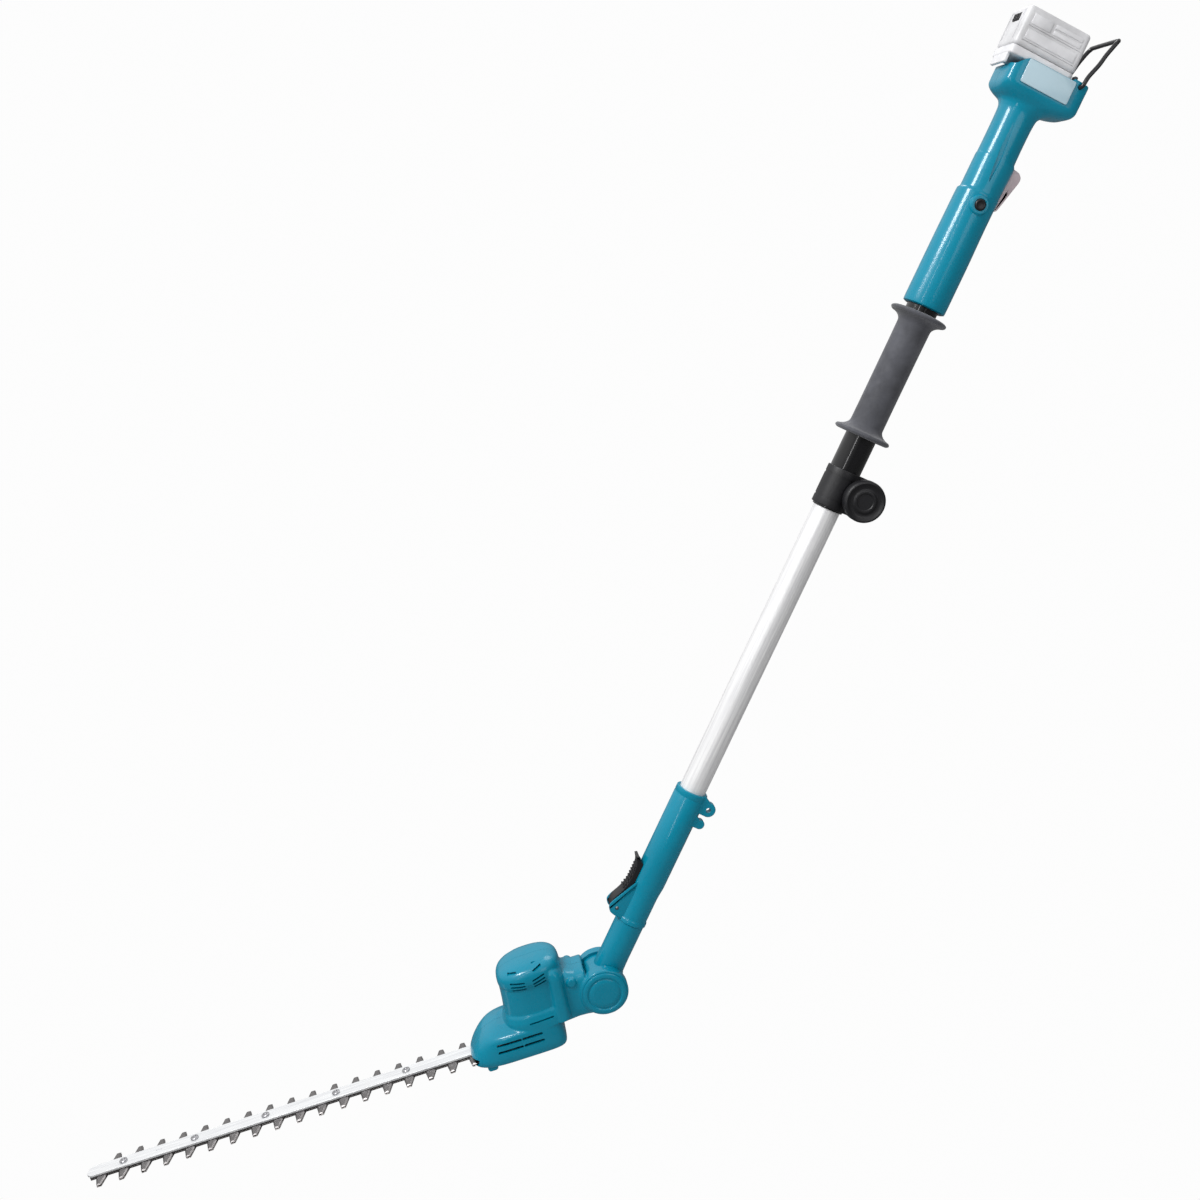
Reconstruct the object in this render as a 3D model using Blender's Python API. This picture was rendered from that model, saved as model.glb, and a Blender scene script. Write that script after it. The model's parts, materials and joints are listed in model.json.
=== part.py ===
"""Cordless pole hedge trimmer, posed as it is held: pole leaning, cutter head folded up 50 degrees.

Every size below is in millimetres; the helpers turn millimetres into metres.
The pole frame has its origin on the head's hinge, +Z up the pole and +X to the pole's underside.
The head frame has its origin on the same hinge, +X along the cutter bar and +Z up through the motor.
The world's origin is the middle of the front grip.
"""
import math

import bmesh
import bpy
from mathutils import Matrix, Vector

MM = 0.001
GAP = 0.3
SIDES = 24

POLE_TILT = math.radians(24.2)
BLADE_DIP = math.radians(15.6)

INNER_TUBE_RADIUS = 15.2
OUTER_TUBE_RADIUS = 17.3
OUTER_TUBE_BORE = 15.8
OUTER_TUBE_LOW = 607.0
OUTER_TUBE_HIGH = 900.0
INNER_TUBE_LOW = 121.0
INNER_TUBE_HIGH = 654.0

HOLDER_LOW = 82.0
HOLDER_HIGH = 255.0
HOLDER_RADIUS = 18.8

GRIP_LOW = 692.0
GRIP_HIGH = 835.0
GRIP_RADIUS = 18.5
FLANGE_RADIUS = 32.0

CLAMP_Z = 631.0
CLAMP_BOLT_X = 24.5
KNOB_RADIUS = 23.0

HANDLE_LOW = 842.0
HANDLE_WALL = 2.6
TRAY_FLOOR = 1102.7
TRAY_TOP = 1108.0
TRAY_WALL_TOP = 1105.6
TRAY_CENTRE_X = 9.0
TRAY_HALF_LENGTH = 44.0
TRAY_HALF_WIDTH = 28.0
TRIGGER_PIVOT = (18.5, 0.0, 965.0)
BUTTON_PLACE = (-0.5, 0.0, 957.5)
HOOK_PIVOT = (41.0, 0.0, 1103.0)
HOOK_HALF_WIDTH = 30.9
HOOK_WIRE = 2.3
HANDLE_SCREWS = [(-3.0, 925.0, 21.0), (-1.0, 1040.0, 19.0)]

BATTERY_LOW = TRAY_FLOOR + GAP
BATTERY_HIGH = 1153.0
BATTERY_X = (-43.0, 31.0)
BATTERY_HALF_WIDTH = 24.4
CELL_RADIUS = 8.8

LEVER_PIVOT = (-24.2, 0.0, 94.4)
LEVER_HALF_WIDTH = 8.6
KNUCKLE_RADIUS = 25.0
KNUCKLE_HALF_WIDTH = 17.1
EAR_INNER = 17.5
EAR_OUTER = 30.0
EAR_RADIUS = 28.0
CAP_RADIUS = 25.5
SHAFT_RADIUS = 6.0
INDEX_RADIUS = 19.5
HOLDER_SCREWS = [150.0, 205.0]

MOTOR_X = 80.0
PINION_RADIUS = 4.8
GEAR_RADIUS = 24.0
CRANK_X = MOTOR_X + PINION_RADIUS + GEAR_RADIUS + GAP
CRANK_THROW = 6.5
ECCENTRIC_RADIUS = 11.0
BASE_BOTTOM = -48.0
BASE_WALL = 3.5
HEAD_SCREWS = [(80.0, 20.0), (150.0, -28.0)]

BAR_TOP = -34.7
BAR_THICKNESS = 2.6
BLADE_THICKNESS = 1.6
BAR_START = 131.0
BAR_END = 628.8
BAR_HALF_WIDTH = 9.5
TOOTH_PITCH = 26.15
TOOTH_REACH = 26.0
NEAR_TEETH = 18
FAR_TEETH = 17
FIRST_NEAR_TOOTH = 612.0
FIRST_FAR_TOOTH = FIRST_NEAR_TOOTH - TOOTH_PITCH / 2
BOLT_SPACING = 84.6
FIRST_BOLT = 586.6
BOLT_COUNT = 5
UPPER_BLADE_TOP = BAR_TOP - BAR_THICKNESS - GAP
LOWER_BLADE_TOP = UPPER_BLADE_TOP - BLADE_THICKNESS - GAP


# ---------------------------------------------------------------- materials

def material(name, colour, roughness, metallic=0.0, alpha=1.0):
    made = bpy.data.materials.new(name)
    made.use_nodes = True
    shader = made.node_tree.nodes["Principled BSDF"]
    shader.inputs["Base Color"].default_value = (*colour, 1.0)
    shader.inputs["Roughness"].default_value = roughness
    shader.inputs["Metallic"].default_value = metallic
    shader.inputs["Alpha"].default_value = alpha
    return made


def make_materials():
    return {
        "teal": material("teal", (0.0, 0.26, 0.36), 0.25),
        "black": material("black", (0.03, 0.03, 0.035), 0.4),
        "gloss_black": material("gloss_black", (0.02, 0.02, 0.022), 0.15),
        "rubber": material("rubber", (0.05, 0.05, 0.055), 0.8),
        "silver": material("silver", (0.8, 0.8, 0.82), 0.3, 1.0),
        "steel": material("steel", (0.35, 0.35, 0.35), 0.35, 1.0),
        "dark_steel": material("dark_steel", (0.18, 0.17, 0.16), 0.4, 1.0),
        "bar": material("bar", (0.8, 0.8, 0.83), 0.3, 1.0),
        "cast": material("cast", (0.6, 0.6, 0.62), 0.5, 1.0),
        "pale": material("pale", (0.75, 0.75, 0.76), 0.4),
        "blue_plate": material("blue_plate", (0.3, 0.55, 0.66), 0.2),
        "grey": material("grey", (0.45, 0.42, 0.43), 0.45),
        "copper": material("copper", (0.6, 0.35, 0.18), 0.4, 1.0),
        "cell": material("cell", (0.1, 0.25, 0.4), 0.4),
    }


# ---------------------------------------------------------------- mesh helpers

def frame_empty(name, parent=None, place=(0, 0, 0), turn=None):
    empty = bpy.data.objects.new(name, None)
    bpy.context.scene.collection.objects.link(empty)
    empty.parent = parent
    local = Matrix.Translation(Vector(place) * MM)
    if turn is not None:
        local = local @ turn
    empty.matrix_local = local
    return empty


def finish(name, mesh_data, colour, parent, place=(0, 0, 0), helper=False):
    bmesh.ops.recalc_face_normals(mesh_data, faces=mesh_data.faces)
    bmesh.ops.scale(mesh_data, vec=(MM, MM, MM), verts=mesh_data.verts)
    mesh = bpy.data.meshes.new(name)
    mesh_data.to_mesh(mesh)
    mesh_data.free()
    obj = bpy.data.objects.new(name, mesh)
    bpy.context.scene.collection.objects.link(obj)
    obj.parent = parent
    obj.location = Vector(place) * MM
    if helper:
        obj.hide_render = True
        obj.display_type = "WIRE"
    else:
        mesh.materials.append(MATERIALS[colour])
    return obj


def spin_matrix(axis):
    """Turns a shape made along +Z so that it lies along the named axis."""
    turns = {
        "Z": Matrix.Identity(4),
        "Y": Matrix.Rotation(math.radians(-90), 4, "X"),
        "X": Matrix.Rotation(math.radians(90), 4, "Y"),
    }
    return turns[axis]


def bridge(mesh_data, rings, closed):
    """Joins rings of points with quads; an open stack gets a cap at each end."""
    rows = [[mesh_data.verts.new(point) for point in ring] for ring in rings]
    pairs = list(zip(rows, rows[1:]))
    if closed:
        pairs.append((rows[-1], rows[0]))
    for low, high in pairs:
        for i in range(len(low)):
            j = (i + 1) % len(low)
            mesh_data.faces.new((low[i], low[j], high[j], high[i]))
    if not closed:
        mesh_data.faces.new(rows[0])
        mesh_data.faces.new(rows[-1])


def oval(z, half_x, half_y, centre_x=0.0, centre_y=0.0, power=2.0, sides=SIDES):
    """A superellipse ring at height z: power 2 is an ellipse, and higher powers are squarer."""
    ring = []
    for i in range(sides):
        angle = 2 * math.pi * (i + 0.5) / sides
        c = math.cos(angle)
        s = math.sin(angle)
        x = math.copysign(abs(c) ** (2 / power), c) * half_x + centre_x
        y = math.copysign(abs(s) ** (2 / power), s) * half_y + centre_y
        ring.append(Vector((x, y, z)))
    return ring


def loft(name, stations, colour, parent, place=(0, 0, 0), axis="Z", helper=False, sides=SIDES):
    mesh_data = bmesh.new()
    rings = [oval(*station, sides=sides) for station in stations]
    bridge(mesh_data, rings, closed=False)
    bmesh.ops.transform(mesh_data, matrix=spin_matrix(axis), verts=mesh_data.verts)
    return finish(name, mesh_data, colour, parent, place, helper)


def rod(name, radius, low, high, colour, parent, place=(0, 0, 0), axis="Z", helper=False, sides=SIDES):
    stations = [(low, radius, radius), (high, radius, radius)]
    return loft(name, stations, colour, parent, place, axis, helper, sides)


def turned(name, profile, colour, parent, place=(0, 0, 0), axis="Z", sides=SIDES):
    """A ring-shaped solid: the closed profile of (radius, height) points goes once around the axis."""
    mesh_data = bmesh.new()
    rings = [oval(height, radius, radius, sides=sides) for radius, height in profile]
    bridge(mesh_data, rings, closed=True)
    bmesh.ops.transform(mesh_data, matrix=spin_matrix(axis), verts=mesh_data.verts)
    return finish(name, mesh_data, colour, parent, place)


def sleeve(name, outer, bore, low, high, colour, parent, place=(0, 0, 0), axis="Z", sides=SIDES):
    profile = [(outer, low), (outer, high), (bore, high), (bore, low)]
    return turned(name, profile, colour, parent, place, axis, sides)


def block(name, low, high, colour, parent, place=(0, 0, 0), helper=False, bevel=0.0):
    mesh_data = bmesh.new()
    size = Vector(high) - Vector(low)
    centre = (Vector(high) + Vector(low)) / 2
    bmesh.ops.create_cube(mesh_data, size=1.0)
    bmesh.ops.scale(mesh_data, vec=size, verts=mesh_data.verts)
    if bevel:
        bmesh.ops.bevel(mesh_data, geom=mesh_data.edges[:], offset=bevel, segments=1, affect="EDGES")
    bmesh.ops.translate(mesh_data, vec=centre, verts=mesh_data.verts)
    return finish(name, mesh_data, colour, parent, place, helper)


def plate(name, outline, low, high, colour, parent, place=(0, 0, 0), axis="Z", helper=False):
    """Extrudes a flat outline of (u, v) points from low to high along the axis."""
    mesh_data = bmesh.new()
    spread = {
        "Z": lambda u, v, w: (u, v, w),
        "Y": lambda u, v, w: (u, w, v),
    }[axis]
    rings = [[spread(u, v, height) for u, v in outline] for height in (low, high)]
    bridge(mesh_data, rings, closed=False)
    return finish(name, mesh_data, colour, parent, place, helper)


def combine(target, other, operation):
    modifier = target.modifiers.new(operation.lower() + "_" + other.name, "BOOLEAN")
    modifier.operation = operation
    modifier.solver = "EXACT"
    modifier.object = other
    return target


def cut(target, *others):
    for other in others:
        combine(target, other, "DIFFERENCE")
    return target


def weld(target, *others):
    for other in others:
        combine(target, other, "UNION")
    return target


def toothed(radius, depth, count):
    """A gear outline whose teeth end at the radius, with two points per tooth and two per groove."""
    outline = []
    for i in range(count * 4):
        angle = 2 * math.pi * i / (count * 4)
        reach = radius if i % 4 < 2 else radius - depth
        outline.append((reach * math.cos(angle), reach * math.sin(angle)))
    return outline


# ---------------------------------------------------------------- rear handle and outer tube

def handle_body(name, colour, parent, helper=False):
    """The closed outer form of the rear handle, its neck and its battery tray."""
    tray = (TRAY_HALF_LENGTH, TRAY_HALF_WIDTH, TRAY_CENTRE_X, 0.0, 7.0)
    stations = [
        (HANDLE_LOW, 20.8, 20.6, 0.5),
        (HANDLE_LOW + 4, 23.7, 23.2, 0.6),
        (900.0, 23.7, 23.2, 0.6),
        (940.0, 23.0, 22.8, 0.4),
        (966.0, 22.8, 22.5, 0.6),
        (972.0, 21.6, 21.4, 1.6),
        (1003.0, 22.0, 21.0, 2.2),
        (1011.0, 20.6, 20.6, 1.5),
        (1040.0, 20.4, 20.2, 1.4),
        (1056.0, 21.0, 20.4, 1.6),
        (1062.0, 22.6, 21.2, 2.2, 0.0, 2.1),
        (1067.0, 28.0, 22.5, 4.0, 0.0, 2.6),
        (1070.0, 36.5, 24.5, 7.0, 0.0, 3.5),
        (1073.5, 41.5, 26.5, 8.6, 0.0, 5.0),
        (1078.0, *tray),
        (TRAY_TOP, *tray),
    ]
    return loft(name, stations, colour, parent, helper=helper)


def handle_cavity(parent):
    hold = OUTER_TUBE_RADIUS + GAP
    tray = (TRAY_HALF_LENGTH - HANDLE_WALL, TRAY_HALF_WIDTH - HANDLE_WALL, TRAY_CENTRE_X, 0.0, 7.0)
    stations = [
        (HANDLE_LOW - 10, hold, hold),
        (OUTER_TUBE_HIGH + GAP, hold, hold),
        (OUTER_TUBE_HIGH + 4, 20.4, 20.0, 0.6),
        (964.0, 20.0, 19.8, 0.6),
        (975.0, 19.0, 18.6, 1.6),
        (1001.0, 19.2, 18.2, 2.0),
        (1010.0, 17.8, 17.9, 1.4),
        (1056.0, 17.8, 17.6, 1.4),
        (1072.0, 26.0, 20.5, 4.5, 0.0, 2.6),
        (1077.0, 38.0, 23.6, 8.4, 0.0, 5.0),
        (1081.0, *tray),
        (1092.0, *tray),
    ]
    return loft("cavity_of_handle", stations, None, parent, helper=True)


def make_handle_shell(side, parent):
    """One half of the clamshell; side is -1 for the near half and 1 for the far half."""
    name = "handle_shell_near" if side < 0 else "handle_shell_far"
    shell = handle_body(name, "teal", parent)
    if side < 0:
        boss = rod("boss_of_" + name, 10.5, -25.0, -17.0, None, parent,
                   (BUTTON_PLACE[0], 0, BUTTON_PLACE[2]), "Y", helper=True)
        weld(shell, boss)
    cut(shell, handle_cavity(parent))
    past_x = TRAY_HALF_LENGTH + 20
    battery_space = block("battery_space_" + name, (-past_x, -24.8, TRAY_FLOOR),
                          (33.0, 24.8, TRAY_TOP + 5), None, parent, helper=True)
    open_end = block("open_end_" + name, (-past_x, -40, 1095.2), (-29, 40, TRAY_TOP + 5),
                     None, parent, helper=True)
    over_walls = block("over_walls_" + name, (-past_x, -40, TRAY_WALL_TOP), (33, 40, TRAY_TOP + 5),
                       None, parent, helper=True)
    trigger_slot = block("trigger_slot_" + name, (12, -6.3, 958.5), (45, 6.3, 1012.0), None, parent,
                         helper=True)
    pin_hole = rod("pin_hole_" + name, 1.9, -9.6, 9.6, None, parent, TRIGGER_PIVOT, "Y", helper=True)
    hook_hole = rod("hook_hole_" + name, HOOK_WIRE + GAP, side * 22.0, side * 32.0, None, parent,
                    HOOK_PIVOT, "Y", helper=True)
    half = block("other_half_" + name, (-90, min(0, -side * 60) - GAP / 2, 800),
                 (90, max(0, -side * 60) + GAP / 2, 1200), None, parent, helper=True)
    cut(shell, battery_space, open_end, over_walls, trigger_slot, pin_hole, hook_hole, half)
    if side < 0:
        button_hole = rod("button_hole", 6.4, -30, -8, None, parent,
                          (BUTTON_PLACE[0], 0, BUTTON_PLACE[2]), "Y", helper=True)
        cut(shell, button_hole)
    else:
        for i, (x, z, floor) in enumerate(HANDLE_SCREWS):
            seat = rod(f"screw_seat_{i}", 3.4, floor, 32.0, None, parent, (x, 0, z), "Y", helper=True)
            shank = rod(f"screw_shank_{i}", 1.8, 10.0, floor + 1, None, parent, (x, 0, z), "Y", helper=True)
            cut(shell, seat, shank)
    return shell



def make_screw(name, head_radius, shank_radius, head_low, head_high, tip, parent, place, colour="steel"):
    """A screw lying along Y: its head runs from head_low to head_high, and its shank ends at tip."""
    stations = [
        (tip, shank_radius, shank_radius),
        (head_low, shank_radius, shank_radius),
        (head_low, head_radius, head_radius),
        (head_high, head_radius, head_radius),
    ]
    return loft(name, stations, colour, parent, place, "Y", sides=12)


def make_clamp(parent):
    """The split collar on the outer tube, with two ears that the knob's bolt pulls together."""
    outer = OUTER_TUBE_RADIUS + 2.2
    bore = OUTER_TUBE_RADIUS + GAP
    ear_x = 33.0
    ear_y = 9.0
    slit = 1.4
    outline = [(ear_x, slit), (ear_x, ear_y), (math.sqrt(outer ** 2 - ear_y ** 2), ear_y)]
    start = math.asin(ear_y / outer)
    steps = 22
    for i in range(1, steps):
        angle = start + (2 * math.pi - 2 * start) * i / steps
        outline.append((outer * math.cos(angle), outer * math.sin(angle)))
    outline += [(math.sqrt(outer ** 2 - ear_y ** 2), -ear_y), (ear_x, -ear_y), (ear_x, -slit)]
    start = math.asin(slit / bore)
    for i in range(steps + 1):
        angle = 2 * math.pi - start - (2 * math.pi - 2 * start) * i / steps
        outline.append((bore * math.cos(angle), bore * math.sin(angle)))
    clamp = plate("tube_clamp", outline, CLAMP_Z - 22, CLAMP_Z + 22, "black", parent)
    bolt_hole = rod("clamp_bolt_hole", 3.2, -20, 20, None, parent, (CLAMP_BOLT_X, 0, CLAMP_Z), "Y", True)
    return cut(clamp, bolt_hole)


def make_grip(parent):
    bore = OUTER_TUBE_RADIUS + GAP
    low = GRIP_LOW
    high = GRIP_HIGH
    profile = [
        (bore, low),
        (FLANGE_RADIUS - 3, low),
        (FLANGE_RADIUS, low + 2),
        (FLANGE_RADIUS - 1.5, low + 5),
        (GRIP_RADIUS + 4, low + 7),
        (GRIP_RADIUS, low + 12),
        (GRIP_RADIUS, high - 12),
        (GRIP_RADIUS + 4, high - 7),
        (FLANGE_RADIUS - 1.5, high - 5),
        (FLANGE_RADIUS, high - 2),
        (FLANGE_RADIUS - 3, high),
        (bore, high),
    ]
    return turned("front_grip", profile, "rubber", parent)


def make_root_parts(pole):
    make_handle_shell(-1, pole)
    make_handle_shell(1, pole)
    sleeve("outer_tube", OUTER_TUBE_RADIUS, OUTER_TUBE_BORE, OUTER_TUBE_LOW, OUTER_TUBE_HIGH,
           "gloss_black", pole)
    make_grip(pole)
    make_clamp(pole)
    nut_place = (CLAMP_BOLT_X, 0, CLAMP_Z)
    nut = plate("clamp_nut", hexagon(5.5), 9.3, 13.5, "steel", pole, nut_place, "Y")
    cut(nut, rod("clamp_nut_bore", 2.9, 5, 18, None, pole, nut_place, "Y", helper=True))
    block("main_switch", (-10, -8, 976), (3, 8, 1006), "black", pole, bevel=0.8)
    block("controller_board", (-12, -9, 1012), (-10, 9, 1050), "grey", pole)
    block("terminal_block", (-15, -14, 1081), (21, 14, 1091), "black", pole, bevel=1.0)
    rod("trigger_pin", 1.5, -9.2, 9.2, "steel", pole, TRIGGER_PIVOT, "Y", sides=12)
    block("housing_plate", (-21, -29.6, 1081), (35, -28.3, 1105), "blue_plate", pole)
    for i, (x, z, floor) in enumerate(HANDLE_SCREWS):
        make_screw(f"handle_screw_{i + 1}", 3.0, 1.5, floor + GAP, floor + 2.0, floor - 3.6, pole, (x, 0, z))
    block("hook_bumper", (34, -20, TRAY_TOP + GAP), (38, -12, TRAY_TOP + 5), "rubber", pole, bevel=0.8)


def hexagon(radius):
    return [(radius * math.cos(math.pi * i / 3), radius * math.sin(math.pi * i / 3)) for i in range(6)]


# ---------------------------------------------------------------- controls

def make_trigger(pole):
    pivot = frame_empty("trigger_axis", pole, TRIGGER_PIVOT)
    outline = [(-5.0, 3.0), (-2.5, -4.0), (4.0, -4.5), (7.5, -2.5), (16.6, 34.0), (16.0, 38.5), (12.0, 42.0),
               (-1.0, 44.0), (-6.0, 42.0)]
    trigger = plate("switch_trigger", outline, -5.8, 5.8, "grey", pivot, axis="Y")
    bore = rod("trigger_bore", 1.8, -10, 10, None, pivot, axis="Y", helper=True)
    cut(trigger, bore)


def make_lock_off_button(pole):
    centre = frame_empty("button_axis", pole, BUTTON_PLACE)
    stations = [(-26.5, 4.8, 4.8), (-25.5, 6.0, 6.0), (-14.0, 6.0, 6.0), (-13.0, 5.0, 5.0)]
    loft("lock_off_button", stations, "black", centre, axis="Y", sides=20)


def make_clamp_knob(pole):
    axis = frame_empty("knob_axis", pole, (CLAMP_BOLT_X, 0, CLAMP_Z))
    stations = [
        (-35.4, 19.0, 19.0),
        (-34.0, KNOB_RADIUS - 0.8, KNOB_RADIUS - 0.8),
        (-32.0, KNOB_RADIUS, KNOB_RADIUS),
        (-20.9, KNOB_RADIUS - 1.5, KNOB_RADIUS - 1.5),
        (-20.9, 6.0, 6.0),
        (-9.4, 6.0, 6.0),
    ]
    knob = loft("clamp_knob", stations, "black", axis, axis="Y")
    bore = rod("knob_bore", 2.9, -30, 0, None, axis, axis="Y", helper=True)
    cut(knob, bore)
    rod("clamp_bolt", 2.6, -29.5, 15.5, "steel", axis, axis="Y", sides=16)


def make_hook(pole):
    axis = frame_empty("hook_axis", pole, HOOK_PIVOT)
    width = HOOK_HALF_WIDTH
    side = [
        (0.0, 24.0, 0.0),
        (0.0, width - 2.5, 0.0),
        (0.4, width - 0.7, 0.8),
        (0.8, width, 3.0),
        (2.0, width, 12.0),
        (6.5, width, 26.0),
        (9.0, width, 38.0),
        (12.5, width, 50.0),
        (14.2, width - 1.5, 54.5),
        (14.6, width - 6.0, 56.0),
    ]
    route = [(x, -y, z) for x, y, z in side] + [(x, y, z) for x, y, z in reversed(side)]
    curve = bpy.data.curves.new("hanging_hook", "CURVE")
    curve.dimensions = "3D"
    curve.bevel_depth = HOOK_WIRE * MM
    curve.bevel_resolution = 2
    curve.use_fill_caps = True
    spline = curve.splines.new("POLY")
    spline.points.add(len(route) - 1)
    for point, place in zip(spline.points, route):
        point.co = (*(Vector(place) * MM), 1.0)
    curve.materials.append(MATERIALS["black"])
    hook = bpy.data.objects.new("hanging_hook", curve)
    bpy.context.scene.collection.objects.link(hook)
    hook.parent = axis


# ---------------------------------------------------------------- battery

def make_battery(pole):
    slide = frame_empty("battery_slide", pole)
    low_x, high_x = BATTERY_X
    split = BATTERY_LOW + 9
    case = block("battery_case", (low_x, -BATTERY_HALF_WIDTH, split + GAP),
                 (high_x, BATTERY_HALF_WIDTH, BATTERY_HIGH), "pale", slide, bevel=3.0)
    hollow = block("battery_hollow", (low_x + 2.5, -BATTERY_HALF_WIDTH + 2.5, split - 5),
                   (high_x - 2.5, BATTERY_HALF_WIDTH - 2.5, BATTERY_HIGH - 2.5), None, slide, helper=True)
    button_way = block("release_way", (low_x - 5, -8.3, 1137.7), (low_x + 9, 8.3, 1146.3), None, slide,
                       helper=True)
    cut(case, hollow, button_way)
    base = block("battery_base", (low_x, -BATTERY_HALF_WIDTH, BATTERY_LOW),
                 (high_x, BATTERY_HALF_WIDTH, split), "pale", slide, bevel=2.0)
    lip = block("battery_lip", (low_x + 0.5, -18, BATTERY_LOW - 9), (low_x + 4, 18, BATTERY_LOW + 3), None,
                slide, helper=True)
    weld(base, lip)
    for i, (y, z) in enumerate([(-9.6, 1122.3), (9.6, 1122.3), (-9.6, 1141.0), (9.6, 1141.0)]):
        reach = (low_x + 3.5, high_x - 3.5) if z < 1130 else (low_x + 12, high_x - 3)
        rod(f"battery_cell_{i + 1}", CELL_RADIUS, reach[0], reach[1] - 1, "cell", slide, (0, y, z), "X", sides=16)
    release = frame_empty("release_slide", slide)
    block("battery_release", (low_x - 1.2, -8, 1138), (low_x + 5, 8, 1146), "black", release, bevel=0.8)


# ---------------------------------------------------------------- extension pole and hinge arm

def make_holder(pole):
    """The collar that joins the inner tube to the hinge arm, with two bosses and the lever's cheeks."""
    inside = INNER_TUBE_RADIUS + GAP
    profile = [
        (inside, HOLDER_LOW),
        (18.6, HOLDER_LOW),
        (18.6, HOLDER_LOW + 4),
        (17.5, HOLDER_LOW + 6),
        (17.5, 118.0),
        (HOLDER_RADIUS, 134.0),
        (HOLDER_RADIUS, HOLDER_HIGH),
        (inside, HOLDER_HIGH),
    ]
    holder = turned("pole_holder", profile, "teal", pole)
    bore = rod("bore_of_holder", inside, HOLDER_LOW - 5, HOLDER_HIGH + 5, None, pole,
               helper=True)
    for i, (z, reach, radius, rise) in enumerate([(242.0, 23.6, 8.4, 9.0), (222.5, 21.6, 5.6, 5.0)]):
        lug = rod(f"holder_lug_{i}", radius, -13.0, -4.0, None, pole, (reach, 0, z), "Y", helper=True)
        root = block(f"holder_lug_root_{i}", (reach - 12, -13, z - radius * 0.9), (reach, -4, z + rise),
                     None, pole, helper=True)
        weld(holder, lug, root)
    for y in (-10.1, 10.1):
        outline = [(-11.0, 84.0), (-24.0, 85.0), (-30.5, 87.5), (-34.5, 94.0), (-33.0, 99.5), (-15.0, 134.0),
                   (-11.0, 137.0)]
        cheek = plate(f"holder_cheek_{y}", outline, y - 1.1, y + 1.1, None, pole, axis="Y", helper=True)
        weld(holder, cheek)
    pin_hole = rod("lever_pin_hole", 2.3, -13, 13, None, pole, LEVER_PIVOT, "Y", helper=True)
    lug_hole = rod("holder_lug_hole", 3.0, -20, 0, None, pole, (23.6, 0, 242.0), "Y", helper=True)
    cut(holder, bore, pin_hole, lug_hole)
    for i, z in enumerate(HOLDER_SCREWS):
        seat = rod(f"holder_screw_seat_{i}", 1.9, 10, 30, None, pole, (0, 0, z), "Y", helper=True)
        cut(holder, seat)
    return holder



def make_arm(pole):
    """The hinge arm: a knuckle between the head's ears, and a tube that plugs into the holder."""
    stations = [
        (8.0, 17.8, KNUCKLE_HALF_WIDTH - 0.2, 0.0, 0.0, 2.3),
        (30.0, 17.6, KNUCKLE_HALF_WIDTH - 0.2),
        (36.0, 17.4, 17.4),
        (HOLDER_LOW - GAP, 17.4, 17.4),
        (HOLDER_LOW - GAP, INNER_TUBE_RADIUS, INNER_TUBE_RADIUS),
        (INNER_TUBE_LOW - GAP, INNER_TUBE_RADIUS, INNER_TUBE_RADIUS),
    ]
    arm = loft("hinge_arm", stations, "teal", pole)
    knuckle = rod("knuckle", KNUCKLE_RADIUS, -KNUCKLE_HALF_WIDTH, KNUCKLE_HALF_WIDTH, None, pole, axis="Y",
                  helper=True)
    weld(arm, knuckle)
    slot = rod("index_slot", INDEX_RADIUS + 1.2, -3.0, 3.0, None, pole, axis="Y", helper=True, sides=28)
    mouth = block("index_mouth", (-INDEX_RADIUS, -2.9, -40), (INDEX_RADIUS, 2.9, 2), None, pole, helper=True)
    shaft_bore = rod("shaft_bore", SHAFT_RADIUS + GAP, -30, 30, None, pole, axis="Y", helper=True)
    bolt_bore = rod("bolt_bore", 4.3, 12.0, 140.0, None, pole, helper=True, sides=16)
    cut(arm, slot, mouth, shaft_bore, bolt_bore)
    return arm


def make_extension(pole):
    sleeve("inner_tube", INNER_TUBE_RADIUS, INNER_TUBE_RADIUS - 1.5, INNER_TUBE_LOW, INNER_TUBE_HIGH,
           "silver", pole)
    rod("power_lead", 4.0, INNER_TUBE_LOW + 6, INNER_TUBE_HIGH - 4, "black", pole, sides=12)
    make_holder(pole)
    make_arm(pole)
    rod("lever_pin", 2.0, -11.4, 11.4, "steel", pole, LEVER_PIVOT, "Y", sides=12)
    for i, z in enumerate(HOLDER_SCREWS):
        make_screw(f"holder_screw_{i + 1}", 3.2, 1.5, HOLDER_RADIUS + GAP, HOLDER_RADIUS + 1.8, 15.6, pole,
                   (0, 0, z))


def make_lever(pole):
    axis = frame_empty("lever_axis", pole, LEVER_PIVOT)
    outline = [
        (3.8, -4.0),
        (-3.0, -6.0),
        (-7.0, -4.0),
        (-9.0, 3.0),
        (-8.2, 9.0),
        (-2.6, 20.5),
        (0.6, 32.0),
        (1.0, 46.0),
        (0.6, 54.0),
        (-0.6, 59.0),
        (-4.4, 64.6),
        (-1.4, 66.2),
        (3.6, 61.0),
        (8.6, 58.5),
        (9.5, 56.0),
        (9.5, 40.0),
        (8.0, 30.0),
        (5.0, 20.0),
        (4.0, 8.0),
    ]
    lever = plate("lock_lever", outline, -LEVER_HALF_WIDTH, LEVER_HALF_WIDTH, "black", axis, axis="Y")
    saddle = rod("lever_saddle", HOLDER_RADIUS + 2 * GAP, 16, 90, None, axis, (-LEVER_PIVOT[0], 0, 0),
                 helper=True, sides=48)
    bore = rod("lever_bore", 2.3, -10, 10, None, axis, axis="Y", helper=True)
    cut(lever, saddle, bore)


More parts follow.
